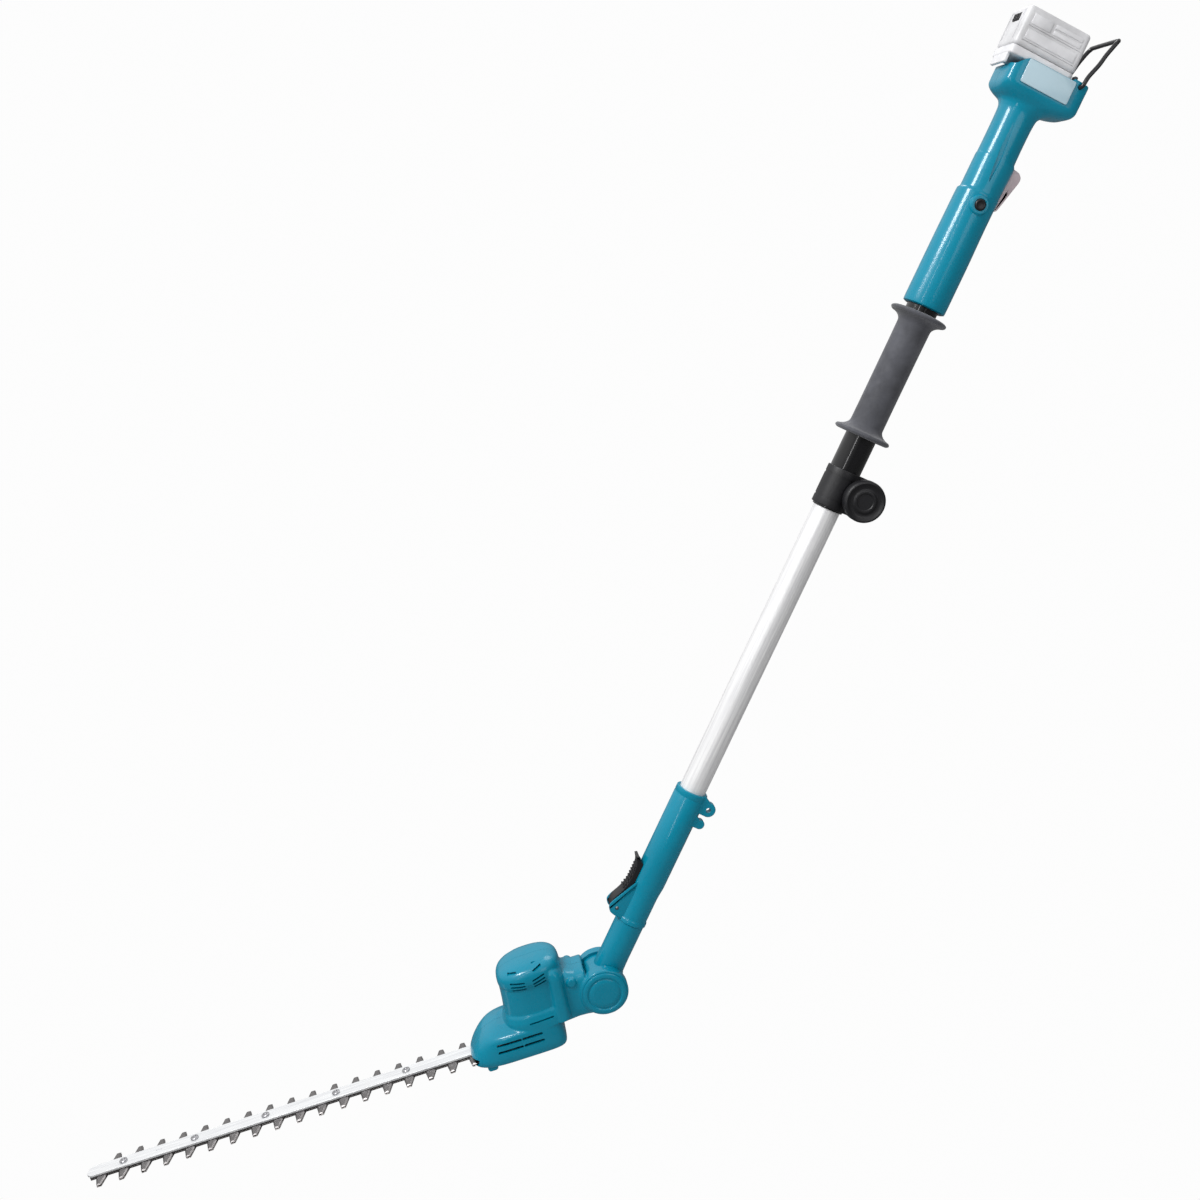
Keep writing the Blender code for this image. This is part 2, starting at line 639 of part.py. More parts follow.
def make_lock_bolt(pole):
    stations = [(INDEX_RADIUS + 1.4, 3.0, 3.0), (INDEX_RADIUS + 4.0, 4.0, 4.0), (76.0, 4.0, 4.0)]
    loft("lock_bolt", stations, "steel", pole, sides=16)
    profile = [(3.9, 80.0), (3.9, 112.0), (2.4, 112.0), (2.4, 80.0)]
    turned("lock_spring", profile, "steel", pole, sides=12)


# ---------------------------------------------------------------- cutter head

def head_body(name, colour, parent, side):
    """The closed outer form of the head: motor drum, gear base, neck and one hinge ear."""
    drum = [
        (-14.0, 39.5, 36.0, MOTOR_X - 0.5, 0, 2.3),
        (4.0, 39.0, 35.5, MOTOR_X - 0.8, 0, 2.3),
        (34.0, 36.3, 34.0, MOTOR_X - 2.2, 0, 2.3),
        (39.0, 37.6, 35.5, MOTOR_X - 2.4, 0, 2.3),
        (50.0, 37.6, 34.5, MOTOR_X - 2.4, 0, 2.3),
        (56.0, 33.0, 30.0, MOTOR_X - 5, 0, 2.3),
        (59.5, 26.0, 22.0, MOTOR_X - 8, 0, 2.3),
        (61.5, 12.0, 9.0, MOTOR_X - 11),
    ]
    neck = [
        (16.0, 29.0, EAR_OUTER - 1.5, 2.2, 0, 4.5),
        (36.0, 30.2, EAR_OUTER - 2.5, 4.6, 0, 4.5),
        (62.0, 33.0, 27.0, 4.0, 0, 4.0),
    ]
    shell = loft(name, drum, colour, parent, sides=32)
    base_form = loft("base_of_" + name, base_stations(0.0, BASE_BOTTOM), None, parent, helper=True, sides=40)
    neck_form = loft("neck_of_" + name, neck_along_x(neck), None, parent, axis="X", helper=True)
    ear = rod("ear_of_" + name, EAR_RADIUS, side * 5.0, side * EAR_OUTER, None, parent, axis="Y",
              helper=True, sides=32)
    weld(shell, base_form, neck_form, ear)
    return shell


def base_stations(inset, bottom):
    """The gear base's stations: its nose slopes back toward the top. An inset gives its inner room."""
    rows = [
        (bottom, 52.0, 31.5, 110.5),
        (BASE_BOTTOM + 4, 56.4, 36.4, 113.2),
        (-38.0, 57.6, 38.0, 113.6),
        (-28.0, 55.0, 38.0, 111.0),
        (-19.0, 50.8, 37.6, 107.4),
        (-12.5, 46.0, 36.0, 104.0),
        (-6.0, 37.5, 27.0, 97.5),
    ]
    return [(z, half_x - inset, half_y - inset, x, 0, 3.2) for z, half_x, half_y, x in rows]


def neck_along_x(stations):
    """A loft along X keeps its first half size upright: +X of the ring points down, so its sign turns."""
    return [(x, tall, wide, -middle, *rest) for x, tall, wide, middle, *rest in stations]


def make_head_shell(side, head):
    """Half of the head's clamshell; side 1 is the near half, because the head frame's +Y points near."""
    name = "head_shell_near" if side > 0 else "head_shell_far"
    shell = head_body(name, "teal", head, side)
    knuckle_room = rod("knuckle_room_" + name, EAR_RADIUS + 0.6, -EAR_INNER, EAR_INNER, None, head,
                       axis="Y", helper=True)
    drum_room = loft("drum_room_" + name,
                     [(-30.0, 29.5, 30.0, MOTOR_X), (46.0, 29.5, 30.0, MOTOR_X), (54.0, 22.0, 22.0, MOTOR_X)],
                     None, head, helper=True)
    base_room = loft("base_room_" + name, base_stations(BASE_WALL, BASE_BOTTOM - 9)[:-1], None, head,
                     helper=True, sides=40)
    nose_slot = block("nose_slot_" + name, (145, -29.5, -42.0), (185, 29.5, BAR_TOP + 0.6), None, head,
                      helper=True)
    shaft_bore = rod("ear_bore_" + name, SHAFT_RADIUS + GAP, -60, 60, None, head, axis="Y", helper=True)
    half = block("other_half_" + name, (-60, min(0, -side * 70) - GAP / 2, -90),
                 (220, max(0, -side * 70) + GAP / 2, 90), None, head, helper=True)
    cut(shell, knuckle_room, drum_room, base_room, nose_slot, shaft_bore, half)
    if side < 0:
        for i, (x, z) in enumerate(HEAD_SCREWS):
            seat = rod(f"head_screw_seat_{i}", 3.6, -60, -30.6, None, head, (x, 0, z), "Y", helper=True)
            shank = rod(f"head_screw_way_{i}", 1.9, -40, -20, None, head, (x, 0, z), "Y", helper=True)
            cut(shell, seat, shank)
    return shell



def blade_outline(near_teeth, far_teeth, half_width):
    """A cutter strip: teeth along both edges, and a rear plate around the crank's eccentric."""
    root = TOOTH_PITCH * 0.25
    tip = TOOTH_PITCH * 0.10
    points = [(BAR_END - 3, -half_width), (BAR_END - 3, half_width)]
    for i in range(near_teeth):
        x = FIRST_NEAR_TOOTH - i * TOOTH_PITCH
        points += [(x + root, half_width), (x + tip, TOOTH_REACH), (x - tip, TOOTH_REACH),
                   (x - root, half_width)]
    rear = CRANK_X + 22
    points += [(rear + 8, half_width), (rear - 2, 22.5), (CRANK_X - 16, 22.5), (CRANK_X - 17.5, 20.0),
               (CRANK_X - 17.5, -20.0), (CRANK_X - 16, -22.5), (rear - 2, -22.5), (rear + 8, -half_width)]
    for i in reversed(range(far_teeth)):
        x = FIRST_FAR_TOOTH - i * TOOTH_PITCH
        points += [(x - root, -half_width), (x - tip, -TOOTH_REACH), (x + tip, -TOOTH_REACH),
                   (x + root, -half_width)]
    return points


def make_cutter(name, top, head):
    slide = frame_empty(name + "_slide", head)
    outline = blade_outline(NEAR_TEETH, FAR_TEETH, BAR_HALF_WIDTH - 0.6)
    blade = plate(name, outline, top - BLADE_THICKNESS, top, "dark_steel", slide)
    yoke = plate("yoke_of_" + name, rounded_slot(CRANK_X, ECCENTRIC_RADIUS + 1.9, CRANK_THROW + 11.8, 4.0),
                 top - 5, top + 5, None, slide, helper=True)
    cut(blade, yoke)
    for i in range(BOLT_COUNT):
        x = FIRST_BOLT - i * BOLT_SPACING
        slot = plate(f"guide_slot_{i}_{name}", rounded_slot(x, 10.5, 3.3, 1.5), top - 5, top + 5, None, slide,
                     helper=True)
        cut(blade, slot)
    return blade


def rounded_slot(centre_x, half_x, half_y, corner):
    return [
        (centre_x + half_x, -half_y + corner),
        (centre_x + half_x, half_y - corner),
        (centre_x + half_x - corner, half_y),
        (centre_x - half_x + corner, half_y),
        (centre_x - half_x, half_y - corner),
        (centre_x - half_x, -half_y + corner),
        (centre_x - half_x + corner, -half_y),
        (centre_x + half_x - corner, -half_y),
    ]


def make_bar(head):
    low = BAR_TOP - BAR_THICKNESS
    outline = [
        (BAR_START, -BAR_HALF_WIDTH),
        (BAR_END, -BAR_HALF_WIDTH),
        (BAR_END, BAR_HALF_WIDTH),
        (BAR_START, BAR_HALF_WIDTH),
    ]
    bar = plate("guide_bar", outline, low, BAR_TOP, "bar", head)
    for i in range(BOLT_COUNT):
        x = FIRST_BOLT - i * BOLT_SPACING
        hole = rod(f"bar_hole_{i}", 2.8, low - 3, BAR_TOP + 3, None, head, (x, 0, 0), helper=True, sides=12)
        cut(bar, hole)
        stations = [
            (LOWER_BLADE_TOP - BLADE_THICKNESS - 2.6, 4.2, 4.2),
            (LOWER_BLADE_TOP - BLADE_THICKNESS - GAP, 4.2, 4.2),
            (LOWER_BLADE_TOP - BLADE_THICKNESS - GAP, 2.5, 2.5),
            (BAR_TOP + GAP, 2.5, 2.5),
            (BAR_TOP + GAP, 4.6, 4.6),
            (BAR_TOP + 1.6, 4.6, 4.6),
            (BAR_TOP + 2.4, 3.4, 3.4),
        ]
        loft(f"blade_bolt_{i + 1}", stations, "steel", head, (x, 0, 0), sides=12)
    return bar


def make_gear_case(head):
    """The cast plate over the gear: it carries the motor, the crank's top bearing and the bar's rear end."""
    outline = [(74, -22), (138, -22), (148, -10), (148, 10), (138, 22), (74, 22), (66, 12), (66, -12)]
    case = plate("gear_case", outline, -21.0, -16.0, "cast", head)
    foot = block("bar_foot", (134, -8, BAR_TOP + GAP), (147, 8, -19), None, head, helper=True)
    weld(case, foot)
    seat = rod("bearing_seat", 11.3, -30, 0, None, head, (CRANK_X, 0, 0), helper=True)
    pinion_way = rod("pinion_way", 6.0, -30, 0, None, head, (MOTOR_X, 0, 0), helper=True)
    cut(case, seat, pinion_way)
    sleeve("upper_bearing", 11.0, SHAFT_RADIUS + GAP, -20.8, -16.2, "steel", head, (CRANK_X, 0, 0))


def make_motor(head):
    sleeve("motor_can", 22.0, 19.6, -15.7, 44.0, "steel", head, (MOTOR_X, 0, 0), sides=20)
    axis = frame_empty("motor_axis", head, (MOTOR_X, 0, 0))
    rotor = plate("motor_rotor", toothed(PINION_RADIUS, 1.0, 12), -32.0, -26.0, "steel", axis)
    shaft = rod("rotor_shaft", 3.0, -28.0, 42.0, None, axis, helper=True, sides=16)
    core = rod("rotor_core", 18.8, -8.0, 34.0, None, axis, helper=True, sides=20)
    weld(rotor, shaft, core)


def make_crank(head):
    axis = frame_empty("crank_axis", head, (CRANK_X, 0, 0))
    upper = UPPER_BLADE_TOP
    middle = UPPER_BLADE_TOP - BLADE_THICKNESS - GAP / 2
    lower = LOWER_BLADE_TOP - BLADE_THICKNESS
    stations = [
        (lower - 4.9, SHAFT_RADIUS, SHAFT_RADIUS),
        (lower - 0.15, SHAFT_RADIUS, SHAFT_RADIUS),
        (lower - 0.15, ECCENTRIC_RADIUS, ECCENTRIC_RADIUS, 0.0, CRANK_THROW),
        (middle, ECCENTRIC_RADIUS, ECCENTRIC_RADIUS, 0.0, CRANK_THROW),
        (middle, ECCENTRIC_RADIUS, ECCENTRIC_RADIUS, 0.0, -CRANK_THROW),
        (upper + 0.15, ECCENTRIC_RADIUS, ECCENTRIC_RADIUS, 0.0, -CRANK_THROW),
        (upper + 0.15, SHAFT_RADIUS, SHAFT_RADIUS),
        (-16.0, SHAFT_RADIUS, SHAFT_RADIUS),
    ]
    crank = stack("crankshaft", stations, "steel", axis)
    gear = plate("drive_gear", toothed(GEAR_RADIUS, 1.2, 40), -32.0, -27.0, "steel", axis)
    bore = rod("gear_bore", SHAFT_RADIUS + GAP, -40, -10, None, axis, helper=True)
    cut(gear, bore)
    return crank


def stack(name, stations, colour, parent):
    """Welds one short cylinder for each pair of stations; neighbours overlap a little."""
    pieces = []
    for i in range(0, len(stations), 2):
        low = stations[i]
        high = stations[i + 1]
        lap = 0.1 if i + 2 < len(stations) else 0.0
        ends = [low, (high[0] + lap, *high[1:])]
        pieces.append(loft(name if i == 0 else f"{name}_step_{i}", ends, colour if i == 0 else None, parent,
                           helper=i > 0))
    weld(pieces[0], *pieces[1:])
    return pieces[0]


def make_under_cover(head):
    ring = (47.6, 27.2, 110.5, 0, 3.2)
    cover = loft("under_cover", [(BASE_BOTTOM, *ring), (BASE_BOTTOM + 3.4, *ring)], "black", head, sides=40)
    journal = rod("journal_hole", SHAFT_RADIUS + GAP, -60, -40, None, head, (CRANK_X, 0, 0), helper=True)
    cut(cover, journal)
    block("front_skid", (143, -24, -57), (155, 24, BASE_BOTTOM - GAP), "teal", head, bevel=2.5)


def make_hinge(head):
    ends = EAR_OUTER - 0.4
    rod("hinge_shaft", SHAFT_RADIUS, -ends, ends, "steel", head, axis="Y")
    index = plate("index_plate", toothed(INDEX_RADIUS, 2.4, 14), -2.6, 2.6, "steel", head, axis="Y")
    bore = rod("index_bore", SHAFT_RADIUS + GAP, -10, 10, None, head, axis="Y", helper=True)
    cut(index, bore)
    for side, name in ((1, "hinge_cap_near"), (-1, "hinge_cap_far")):
        stations = [
            (side * (EAR_OUTER + GAP), CAP_RADIUS, CAP_RADIUS),
            (side * (EAR_OUTER + 1.8), CAP_RADIUS, CAP_RADIUS),
            (side * (EAR_OUTER + 2.6), CAP_RADIUS - 1.5, CAP_RADIUS - 1.5),
        ]
        loft(name, stations, "teal", head, axis="Y", sides=32)


def make_head(head):
    make_head_shell(1, head)
    make_head_shell(-1, head)
    make_gear_case(head)
    make_motor(head)
    make_crank(head)
    make_bar(head)
    make_cutter("upper_cutter", UPPER_BLADE_TOP, head)
    make_cutter("lower_cutter", LOWER_BLADE_TOP, head)
    make_under_cover(head)
    make_hinge(head)
    for i, (x, z) in enumerate(HEAD_SCREWS):
        make_screw(f"head_screw_{i + 1}", 3.2, 1.5, -30.9, -32.6, -22.0, head, (x, 0, z))


def clear_scene():
    for obj in list(bpy.data.objects):
        bpy.data.objects.remove(obj, do_unlink=True)


def build():
    grip_middle = (GRIP_LOW + GRIP_HIGH) / 2
    hinge = (-grip_middle * math.sin(POLE_TILT), 0.0, -grip_middle * math.cos(POLE_TILT))
    pole = frame_empty("pole_frame", None, hinge, Matrix.Rotation(POLE_TILT, 4, "Y"))
    half_turn = Matrix.Rotation(math.pi, 4, "Z")
    head = frame_empty("head_frame", None, hinge, Matrix.Rotation(-BLADE_DIP, 4, "Y") @ half_turn)
    make_root_parts(pole)
    make_trigger(pole)
    make_lock_off_button(pole)
    make_clamp_knob(pole)
    make_hook(pole)
    make_battery(pole)
    make_extension(pole)
    make_lever(pole)
    make_lock_bolt(pole)
    make_head(head)


clear_scene()
MATERIALS = make_materials()
build()
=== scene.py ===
"""Looks of the cordless pole hedge trimmer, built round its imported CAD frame.

Sizes are in millimetres in two local frames, and the helpers turn them into metres.
The pole frame has its origin on the head's hinge: +Z up the pole, +X to its underside, +Y away.
The head frame has the same origin: +X along the cutter bar, +Z up through the motor, +Y near.
"""

import json
import math

import bmesh
import bpy
from mathutils import Matrix, Vector


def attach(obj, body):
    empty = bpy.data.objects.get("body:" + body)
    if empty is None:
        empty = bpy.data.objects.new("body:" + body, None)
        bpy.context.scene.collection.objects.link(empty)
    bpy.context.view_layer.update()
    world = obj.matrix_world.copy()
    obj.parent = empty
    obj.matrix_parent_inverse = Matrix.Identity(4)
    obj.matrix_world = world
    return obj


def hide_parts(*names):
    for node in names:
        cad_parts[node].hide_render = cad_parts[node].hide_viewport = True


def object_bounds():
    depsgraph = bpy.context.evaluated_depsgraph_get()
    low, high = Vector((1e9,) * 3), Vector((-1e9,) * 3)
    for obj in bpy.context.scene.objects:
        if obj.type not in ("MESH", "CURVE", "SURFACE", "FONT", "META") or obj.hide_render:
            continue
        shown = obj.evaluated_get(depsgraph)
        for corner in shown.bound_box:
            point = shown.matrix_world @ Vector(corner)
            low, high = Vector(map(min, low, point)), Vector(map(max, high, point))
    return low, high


MM = 0.001

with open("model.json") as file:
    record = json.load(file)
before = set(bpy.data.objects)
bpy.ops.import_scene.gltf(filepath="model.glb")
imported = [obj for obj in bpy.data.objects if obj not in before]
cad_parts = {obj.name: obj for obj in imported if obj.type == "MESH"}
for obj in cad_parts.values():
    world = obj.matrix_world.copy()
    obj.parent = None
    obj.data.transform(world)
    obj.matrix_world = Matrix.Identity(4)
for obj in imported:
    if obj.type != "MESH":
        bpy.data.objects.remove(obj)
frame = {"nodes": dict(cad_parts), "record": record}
cad_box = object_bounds()
record = frame["record"]
joints = {joint["name"]: joint for joint in record["behaviour"]["joints"]}
hinge = Vector(joints["head_pivot"]["pos_m"])


def axes_matrix(x_axis, z_axis, origin):
    """A frame from two of its axes; Y follows from them."""
    x_axis = Vector(x_axis).normalized()
    z_axis = Vector(z_axis).normalized()
    y_axis = z_axis.cross(x_axis)
    turn = Matrix((x_axis, y_axis, z_axis)).transposed()
    return Matrix.Translation(origin) @ turn.to_4x4()


POLE = axes_matrix(joints["release_press"]["axis"], joints["pole_slide"]["axis"], hinge)
HEAD = axes_matrix(joints["upper_cutter_slide"]["axis"], joints["motor_spin"]["axis"], hinge)
HEAD_BODIES = ("cutter_head", "upper_cutter", "lower_cutter")


# ---------------------------------------------------------------- materials

def new_material(name, colour, roughness, metallic=0.0):
    """A material and its Principled shader node."""
    made = bpy.data.materials.new(name)
    made.use_nodes = True
    shader = made.node_tree.nodes["Principled BSDF"]
    shader.inputs["Base Color"].default_value = (*colour, 1.0)
    shader.inputs["Roughness"].default_value = roughness
    shader.inputs["Metallic"].default_value = metallic
    return made, shader


def object_noise(made, scale, detail=4.0, stretch=(1.0, 1.0, 1.0), roughness=0.55):
    """Noise in the piece's own coordinates; stretch under 1 draws it out along that axis."""
    nodes = made.node_tree.nodes
    links = made.node_tree.links
    place = nodes.new("ShaderNodeTexCoord")
    mapping = nodes.new("ShaderNodeMapping")
    mapping.inputs["Scale"].default_value = stretch
    grain = nodes.new("ShaderNodeTexNoise")
    grain.inputs["Scale"].default_value = scale
    grain.inputs["Detail"].default_value = detail
    grain.inputs["Roughness"].default_value = roughness
    links.new(place.outputs["Object"], mapping.inputs["Vector"])
    links.new(mapping.outputs["Vector"], grain.inputs["Vector"])
    return grain.outputs["Fac"]


def ramp(made, factor, stops):
    """A colour ramp over (position, colour) stops."""
    node = made.node_tree.nodes.new("ShaderNodeValToRGB")
    made.node_tree.links.new(factor, node.inputs["Fac"])
    elements = node.color_ramp.elements
    for element, (position, colour) in zip(elements, stops):
        element.position = position
        element.color = (*colour, 1.0)
    for position, colour in stops[2:]:
        extra = elements.new(position)
        extra.color = (*colour, 1.0)
    return node.outputs["Color"]


def tint(made, shader, factor, low, high, start=0.3, end=0.7):
    """The base colour runs between two colours with the factor."""
    made.node_tree.links.new(ramp(made, factor, [(start, low), (end, high)]), shader.inputs["Base Color"])


def vary_roughness(made, shader, factor, low, high):
    """The roughness runs between two values with the factor."""
    node = made.node_tree.nodes.new("ShaderNodeMapRange")
    node.inputs["From Min"].default_value = 0.3
    node.inputs["From Max"].default_value = 0.7
    node.inputs["To Min"].default_value = low
    node.inputs["To Max"].default_value = high
    made.node_tree.links.new(factor, node.inputs["Value"])
    made.node_tree.links.new(node.outputs["Result"], shader.inputs["Roughness"])


def bump(made, shader, factor, distance, strength=1.0):
    """Relief of that height in metres; a second call adds to the first."""
    node = made.node_tree.nodes.new("ShaderNodeBump")
    node.inputs["Distance"].default_value = distance
    node.inputs["Strength"].default_value = strength
    links = made.node_tree.links
    before = shader.inputs["Normal"].links
    if before:
        links.new(before[0].from_socket, node.inputs["Normal"])
    links.new(factor, node.inputs["Height"])
    links.new(node.outputs["Normal"], shader.inputs["Normal"])


def shade(colour, factor):
    """The colour made lighter or darker."""
    return tuple(min(1.0, part * factor) for part in colour)


def gloss_plastic(name, colour, roughness=0.27, coat=0.4):
    """Moulded plastic: faint flow marks in its colour, a fine orange-peel skin and a soft clear gloss."""
    made, shader = new_material(name, colour, roughness)
    shader.inputs["Coat Weight"].default_value = coat
    shader.inputs["Coat Roughness"].default_value = 0.12
    shader.inputs["Specular IOR Level"].default_value = 0.22
    flow = object_noise(made, 9.0, 3.0)
    tint(made, shader, flow, shade(colour, 0.93), shade(colour, 1.06))
    vary_roughness(made, shader, object_noise(made, 60.0, 6.0), roughness * 0.8, roughness * 1.35)
    bump(made, shader, object_noise(made, 520.0, 2.0), 0.000012, 0.2)
    return made


def matte_plastic(name, colour, roughness=0.5, grain=900.0):
    """Spark-textured plastic: a fine even grain, with a little shine where hands rub it."""
    made, shader = new_material(name, colour, roughness)
    shader.inputs["IOR"].default_value = 1.48
    tint(made, shader, object_noise(made, 22.0, 5.0), shade(colour, 0.8), shade(colour, 1.25))
    vary_roughness(made, shader, object_noise(made, 35.0, 6.0), roughness * 0.8, roughness * 1.2)
    bump(made, shader, object_noise(made, grain, 3.0), 0.00008, 0.6)
    return made


def rubber(name, colour):
    """Soft foam-like grip rubber with pores and a dusty bloom."""
    made, shader = new_material(name, colour, 0.75)
    shader.inputs["Sheen Weight"].default_value = 0.25
    shader.inputs["Sheen Roughness"].default_value = 0.5
    tint(made, shader, object_noise(made, 45.0, 8.0), shade(colour, 0.75), shade(colour, 1.35))
    vary_roughness(made, shader, object_noise(made, 80.0, 6.0), 0.62, 0.85)
    bump(made, shader, object_noise(made, 700.0, 6.0), 0.00015, 0.7)
    return made


def metal(name, colour, roughness, stretch=(1.0, 1.0, 1.0), scale=300.0, mark=0.00003):
    """Machined or ground metal: grinding lines drawn out along one axis, and cloudy roughness."""
    made, shader = new_material(name, colour, roughness, 1.0)
    lines = object_noise(made, scale, 6.0, stretch)
    tint(made, shader, lines, shade(colour, 0.82), shade(colour, 1.12))
    vary_roughness(made, shader, object_noise(made, 40.0, 6.0, stretch), roughness * 0.75, roughness * 1.35)
    bump(made, shader, lines, mark, 0.6)
    return made


# ---------------------------------------------------------------- mesh tools

def place_piece(name, mesh_data, matrix, body, made, slot, nodes=(), smooth=True, angle=35.0):
    """Turns a bmesh in millimetres into a piece that rides on a body and stands for some CAD nodes."""
    mesh = to_metres(mesh_data, name)
    piece = bpy.data.objects.new(name, mesh)
    bpy.context.scene.collection.objects.link(piece)
    piece.matrix_world = matrix
    mesh.materials.append(made)
    if smooth:
        soften(piece, angle)
    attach(piece, body)
    if nodes:
        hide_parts(*nodes)
    return piece


def finish_node(node, mesh_data, body, made, slot, **shading):
    """A piece that stands for the CAD node of its name, in the frame of the body that it rides on."""
    matrix = HEAD if body in HEAD_BODIES else POLE
    return place_piece(f"{node}_finish", mesh_data, matrix, body, made, slot, [node], **shading)


def soften(piece, angle):
    """Smooth shading, kept sharp where faces meet at more than the angle."""
    mesh = piece.data
    mesh.shade_smooth()
    mesh.set_sharp_from_angle(angle=math.radians(angle))


def add_rings(mesh_data, rings, closed=False):
    """Skins rings of equally many points; both ends are capped unless the last joins the first."""
    rows = [[mesh_data.verts.new(point) for point in ring] for ring in rings]
    pairs = list(zip(rows, rows[1:]))
    if closed:
        pairs.append((rows[-1], rows[0]))
    for low, high in pairs:
        for i in range(len(low)):
            j = (i + 1) % len(low)
            mesh_data.faces.new((low[i], low[j], high[j], high[i]))
    if not closed:
        mesh_data.faces.new(list(reversed(rows[0])))
        mesh_data.faces.new(rows[-1])


def oval(z, half_x, half_y, centre_x=0.0, centre_y=0.0, power=2.0, sides=96):
    """A superellipse at height z; a power over 2 makes its corners squarer."""
    ring = []
    for i in range(sides):
        angle = 2 * math.pi * (i + 0.5) / sides
        c = math.cos(angle)
        s = math.sin(angle)
        x = math.copysign(abs(c) ** (2 / power), c) * half_x + centre_x
        y = math.copysign(abs(s) ** (2 / power), s) * half_y + centre_y
        ring.append(Vector((x, y, z)))
    return ring


def catmull(a, b, c, d, t):
    """The Catmull-Rom curve from b to c, at t between 0 and 1."""
    return 0.5 * (2 * b + (c - a) * t + (2 * a - 5 * b + 4 * c - d) * t * t
                  + (3 * b - a - 3 * c + d) * t ** 3)


def flowing(stations, steps=6):
    """Catmull-Rom through the stations, so that a loft's long lines are smooth curves."""
    full = [tuple(station) + (0.0, 0.0, 2.0)[len(station) - 3:] for station in stations]
    made = []
    for i in range(len(full) - 1):
        before = full[max(i - 1, 0)]
        start = full[i]
        end = full[i + 1]
        after = full[min(i + 2, len(full) - 1)]
        for k in range(steps):
            t = k / steps
            made.append(tuple(catmull(*values, t) for values in zip(before, start, end, after)))
    made.append(full[-1])
    return made


def rounded(points, radius, steps=5, closed=True):
    """Rounds the corners of a flat outline; a point may carry its own radius as a third value."""
    made = []
    count = len(points)
    for i, point in enumerate(points):
        here = Vector(point[:2])
        reach = point[2] if len(point) > 2 else radius
        if not closed and i in (0, count - 1):
            made.append(tuple(here))
            continue
        before = Vector(points[i - 1][:2])
        after = Vector(points[(i + 1) % count][:2])
        to_before = before - here
        to_after = after - here
        limit = min(reach, to_before.length * 0.49, to_after.length * 0.49)
        if limit < 0.01:
            made.append(tuple(here))
            continue
        start = here + to_before.normalized() * limit
        end = here + to_after.normalized() * limit
        for k in range(steps + 1):
            t = k / steps
            made.append(tuple(start * (1 - t) ** 2 + here * 2 * t * (1 - t) + end * t * t))
    return made


AXIS_TURN = {
    "Z": Matrix.Identity(4),
    "Y": Matrix.Rotation(math.radians(-90), 4, "X"),
    "X": Matrix.Rotation(math.radians(90), 4, "Y"),
}


def moved(mesh_data, verts, axis, centre):
    """Turns the vertices' heights onto the axis and puts their origin at the centre."""
    matrix = Matrix.Translation(Vector(centre)) @ AXIS_TURN[axis]
    bmesh.ops.transform(mesh_data, matrix=matrix, verts=verts)


def add_turned_rings(mesh_data, rings, axis, centre, closed=False):
    """Skins the rings, then turns their height onto the axis and moves them to the centre."""
    start = len(mesh_data.verts)
    add_rings(mesh_data, rings, closed)
    mesh_data.verts.ensure_lookup_table()
    moved(mesh_data, mesh_data.verts[start:], axis, centre)


def circle(reach, height, sides):
    steps = [2 * math.pi * i / sides for i in range(sides)]
    return [Vector((reach * math.cos(angle), reach * math.sin(angle), height)) for angle in steps]


def add_lathe(mesh_data, profile, axis="Z", centre=(0, 0, 0), sides=96):
    """A closed (radius, height) profile turned once round the axis."""
    add_turned_rings(mesh_data, [circle(*point, sides) for point in profile], axis, centre, closed=True)


def add_plug(mesh_data, profile, axis="Z", centre=(0, 0, 0), sides=64):
    """A solid of revolution from an open (radius, height) profile, capped at both ends."""
    add_turned_rings(mesh_data, [circle(*point, sides) for point in profile], axis, centre)


def add_loft(mesh_data, stations, axis="Z", centre=(0, 0, 0), sides=96):
    """Ovals stacked along the axis; a station is an oval's arguments up to its power."""
    add_turned_rings(mesh_data, [oval(*station, sides=sides) for station in stations], axis, centre)


def add_prism(mesh_data, outline, low, high, axis="Z", chamfer=0.0, steps=3):
    """Extrudes an outline; its two rims are rounded over by the chamfer."""
    spread = {"Z": lambda u, v, w: (u, v, w), "Y": lambda u, v, w: (u, w, v)}[axis]
    rim = []
    for k in range(steps + 1):
        angle = math.pi / 2 * k / steps
        rim.append((chamfer * (1 - math.cos(angle)), chamfer * (1 - math.sin(angle))))
    if not chamfer:
        rim = [(0.0, 0.0)]
    levels = [(low + rise, inset) for rise, inset in rim]
    levels += [(high - rise, inset) for rise, inset in reversed(rim)]
    rings = [[spread(u, v, w) for u, v in inset_outline(outline, inset)] for w, inset in levels]
    add_rings(mesh_data, rings)


def inset_outline(outline, inset):
    """The outline drawn in by that much along each corner's bisector."""
    if inset <= 0:
        return outline
    count = len(outline)
    area = sum(outline[i - 1][0] * outline[i][1] - outline[i][0] * outline[i - 1][1] for i in range(count))
    turn = 1.0 if area > 0 else -1.0
    made = []
    for i in range(count):
        here = Vector(outline[i])
        a = (here - Vector(outline[i - 1]))
        b = (Vector(outline[(i + 1) % count]) - here)
        if a.length < 1e-6 or b.length < 1e-6:
            made.append(tuple(here))
            continue
        a.normalize()
        b.normalize()
        normal = Vector((-(a.y + b.y), a.x + b.x)) * turn
        if normal.length < 1e-6:
            made.append(tuple(here))
            continue
        normal.normalize()
        made.append(tuple(here + normal * inset))
    return made


def to_metres(mesh_data, name):
    """Turns a bmesh in millimetres into a mesh, with its faces pointing out, and frees it."""
    bmesh.ops.recalc_face_normals(mesh_data, faces=mesh_data.faces)
    bmesh.ops.scale(mesh_data, vec=(MM, MM, MM), verts=mesh_data.verts)
    mesh = bpy.data.meshes.new(name)
    mesh_data.to_mesh(mesh)
    mesh_data.free()
    return mesh


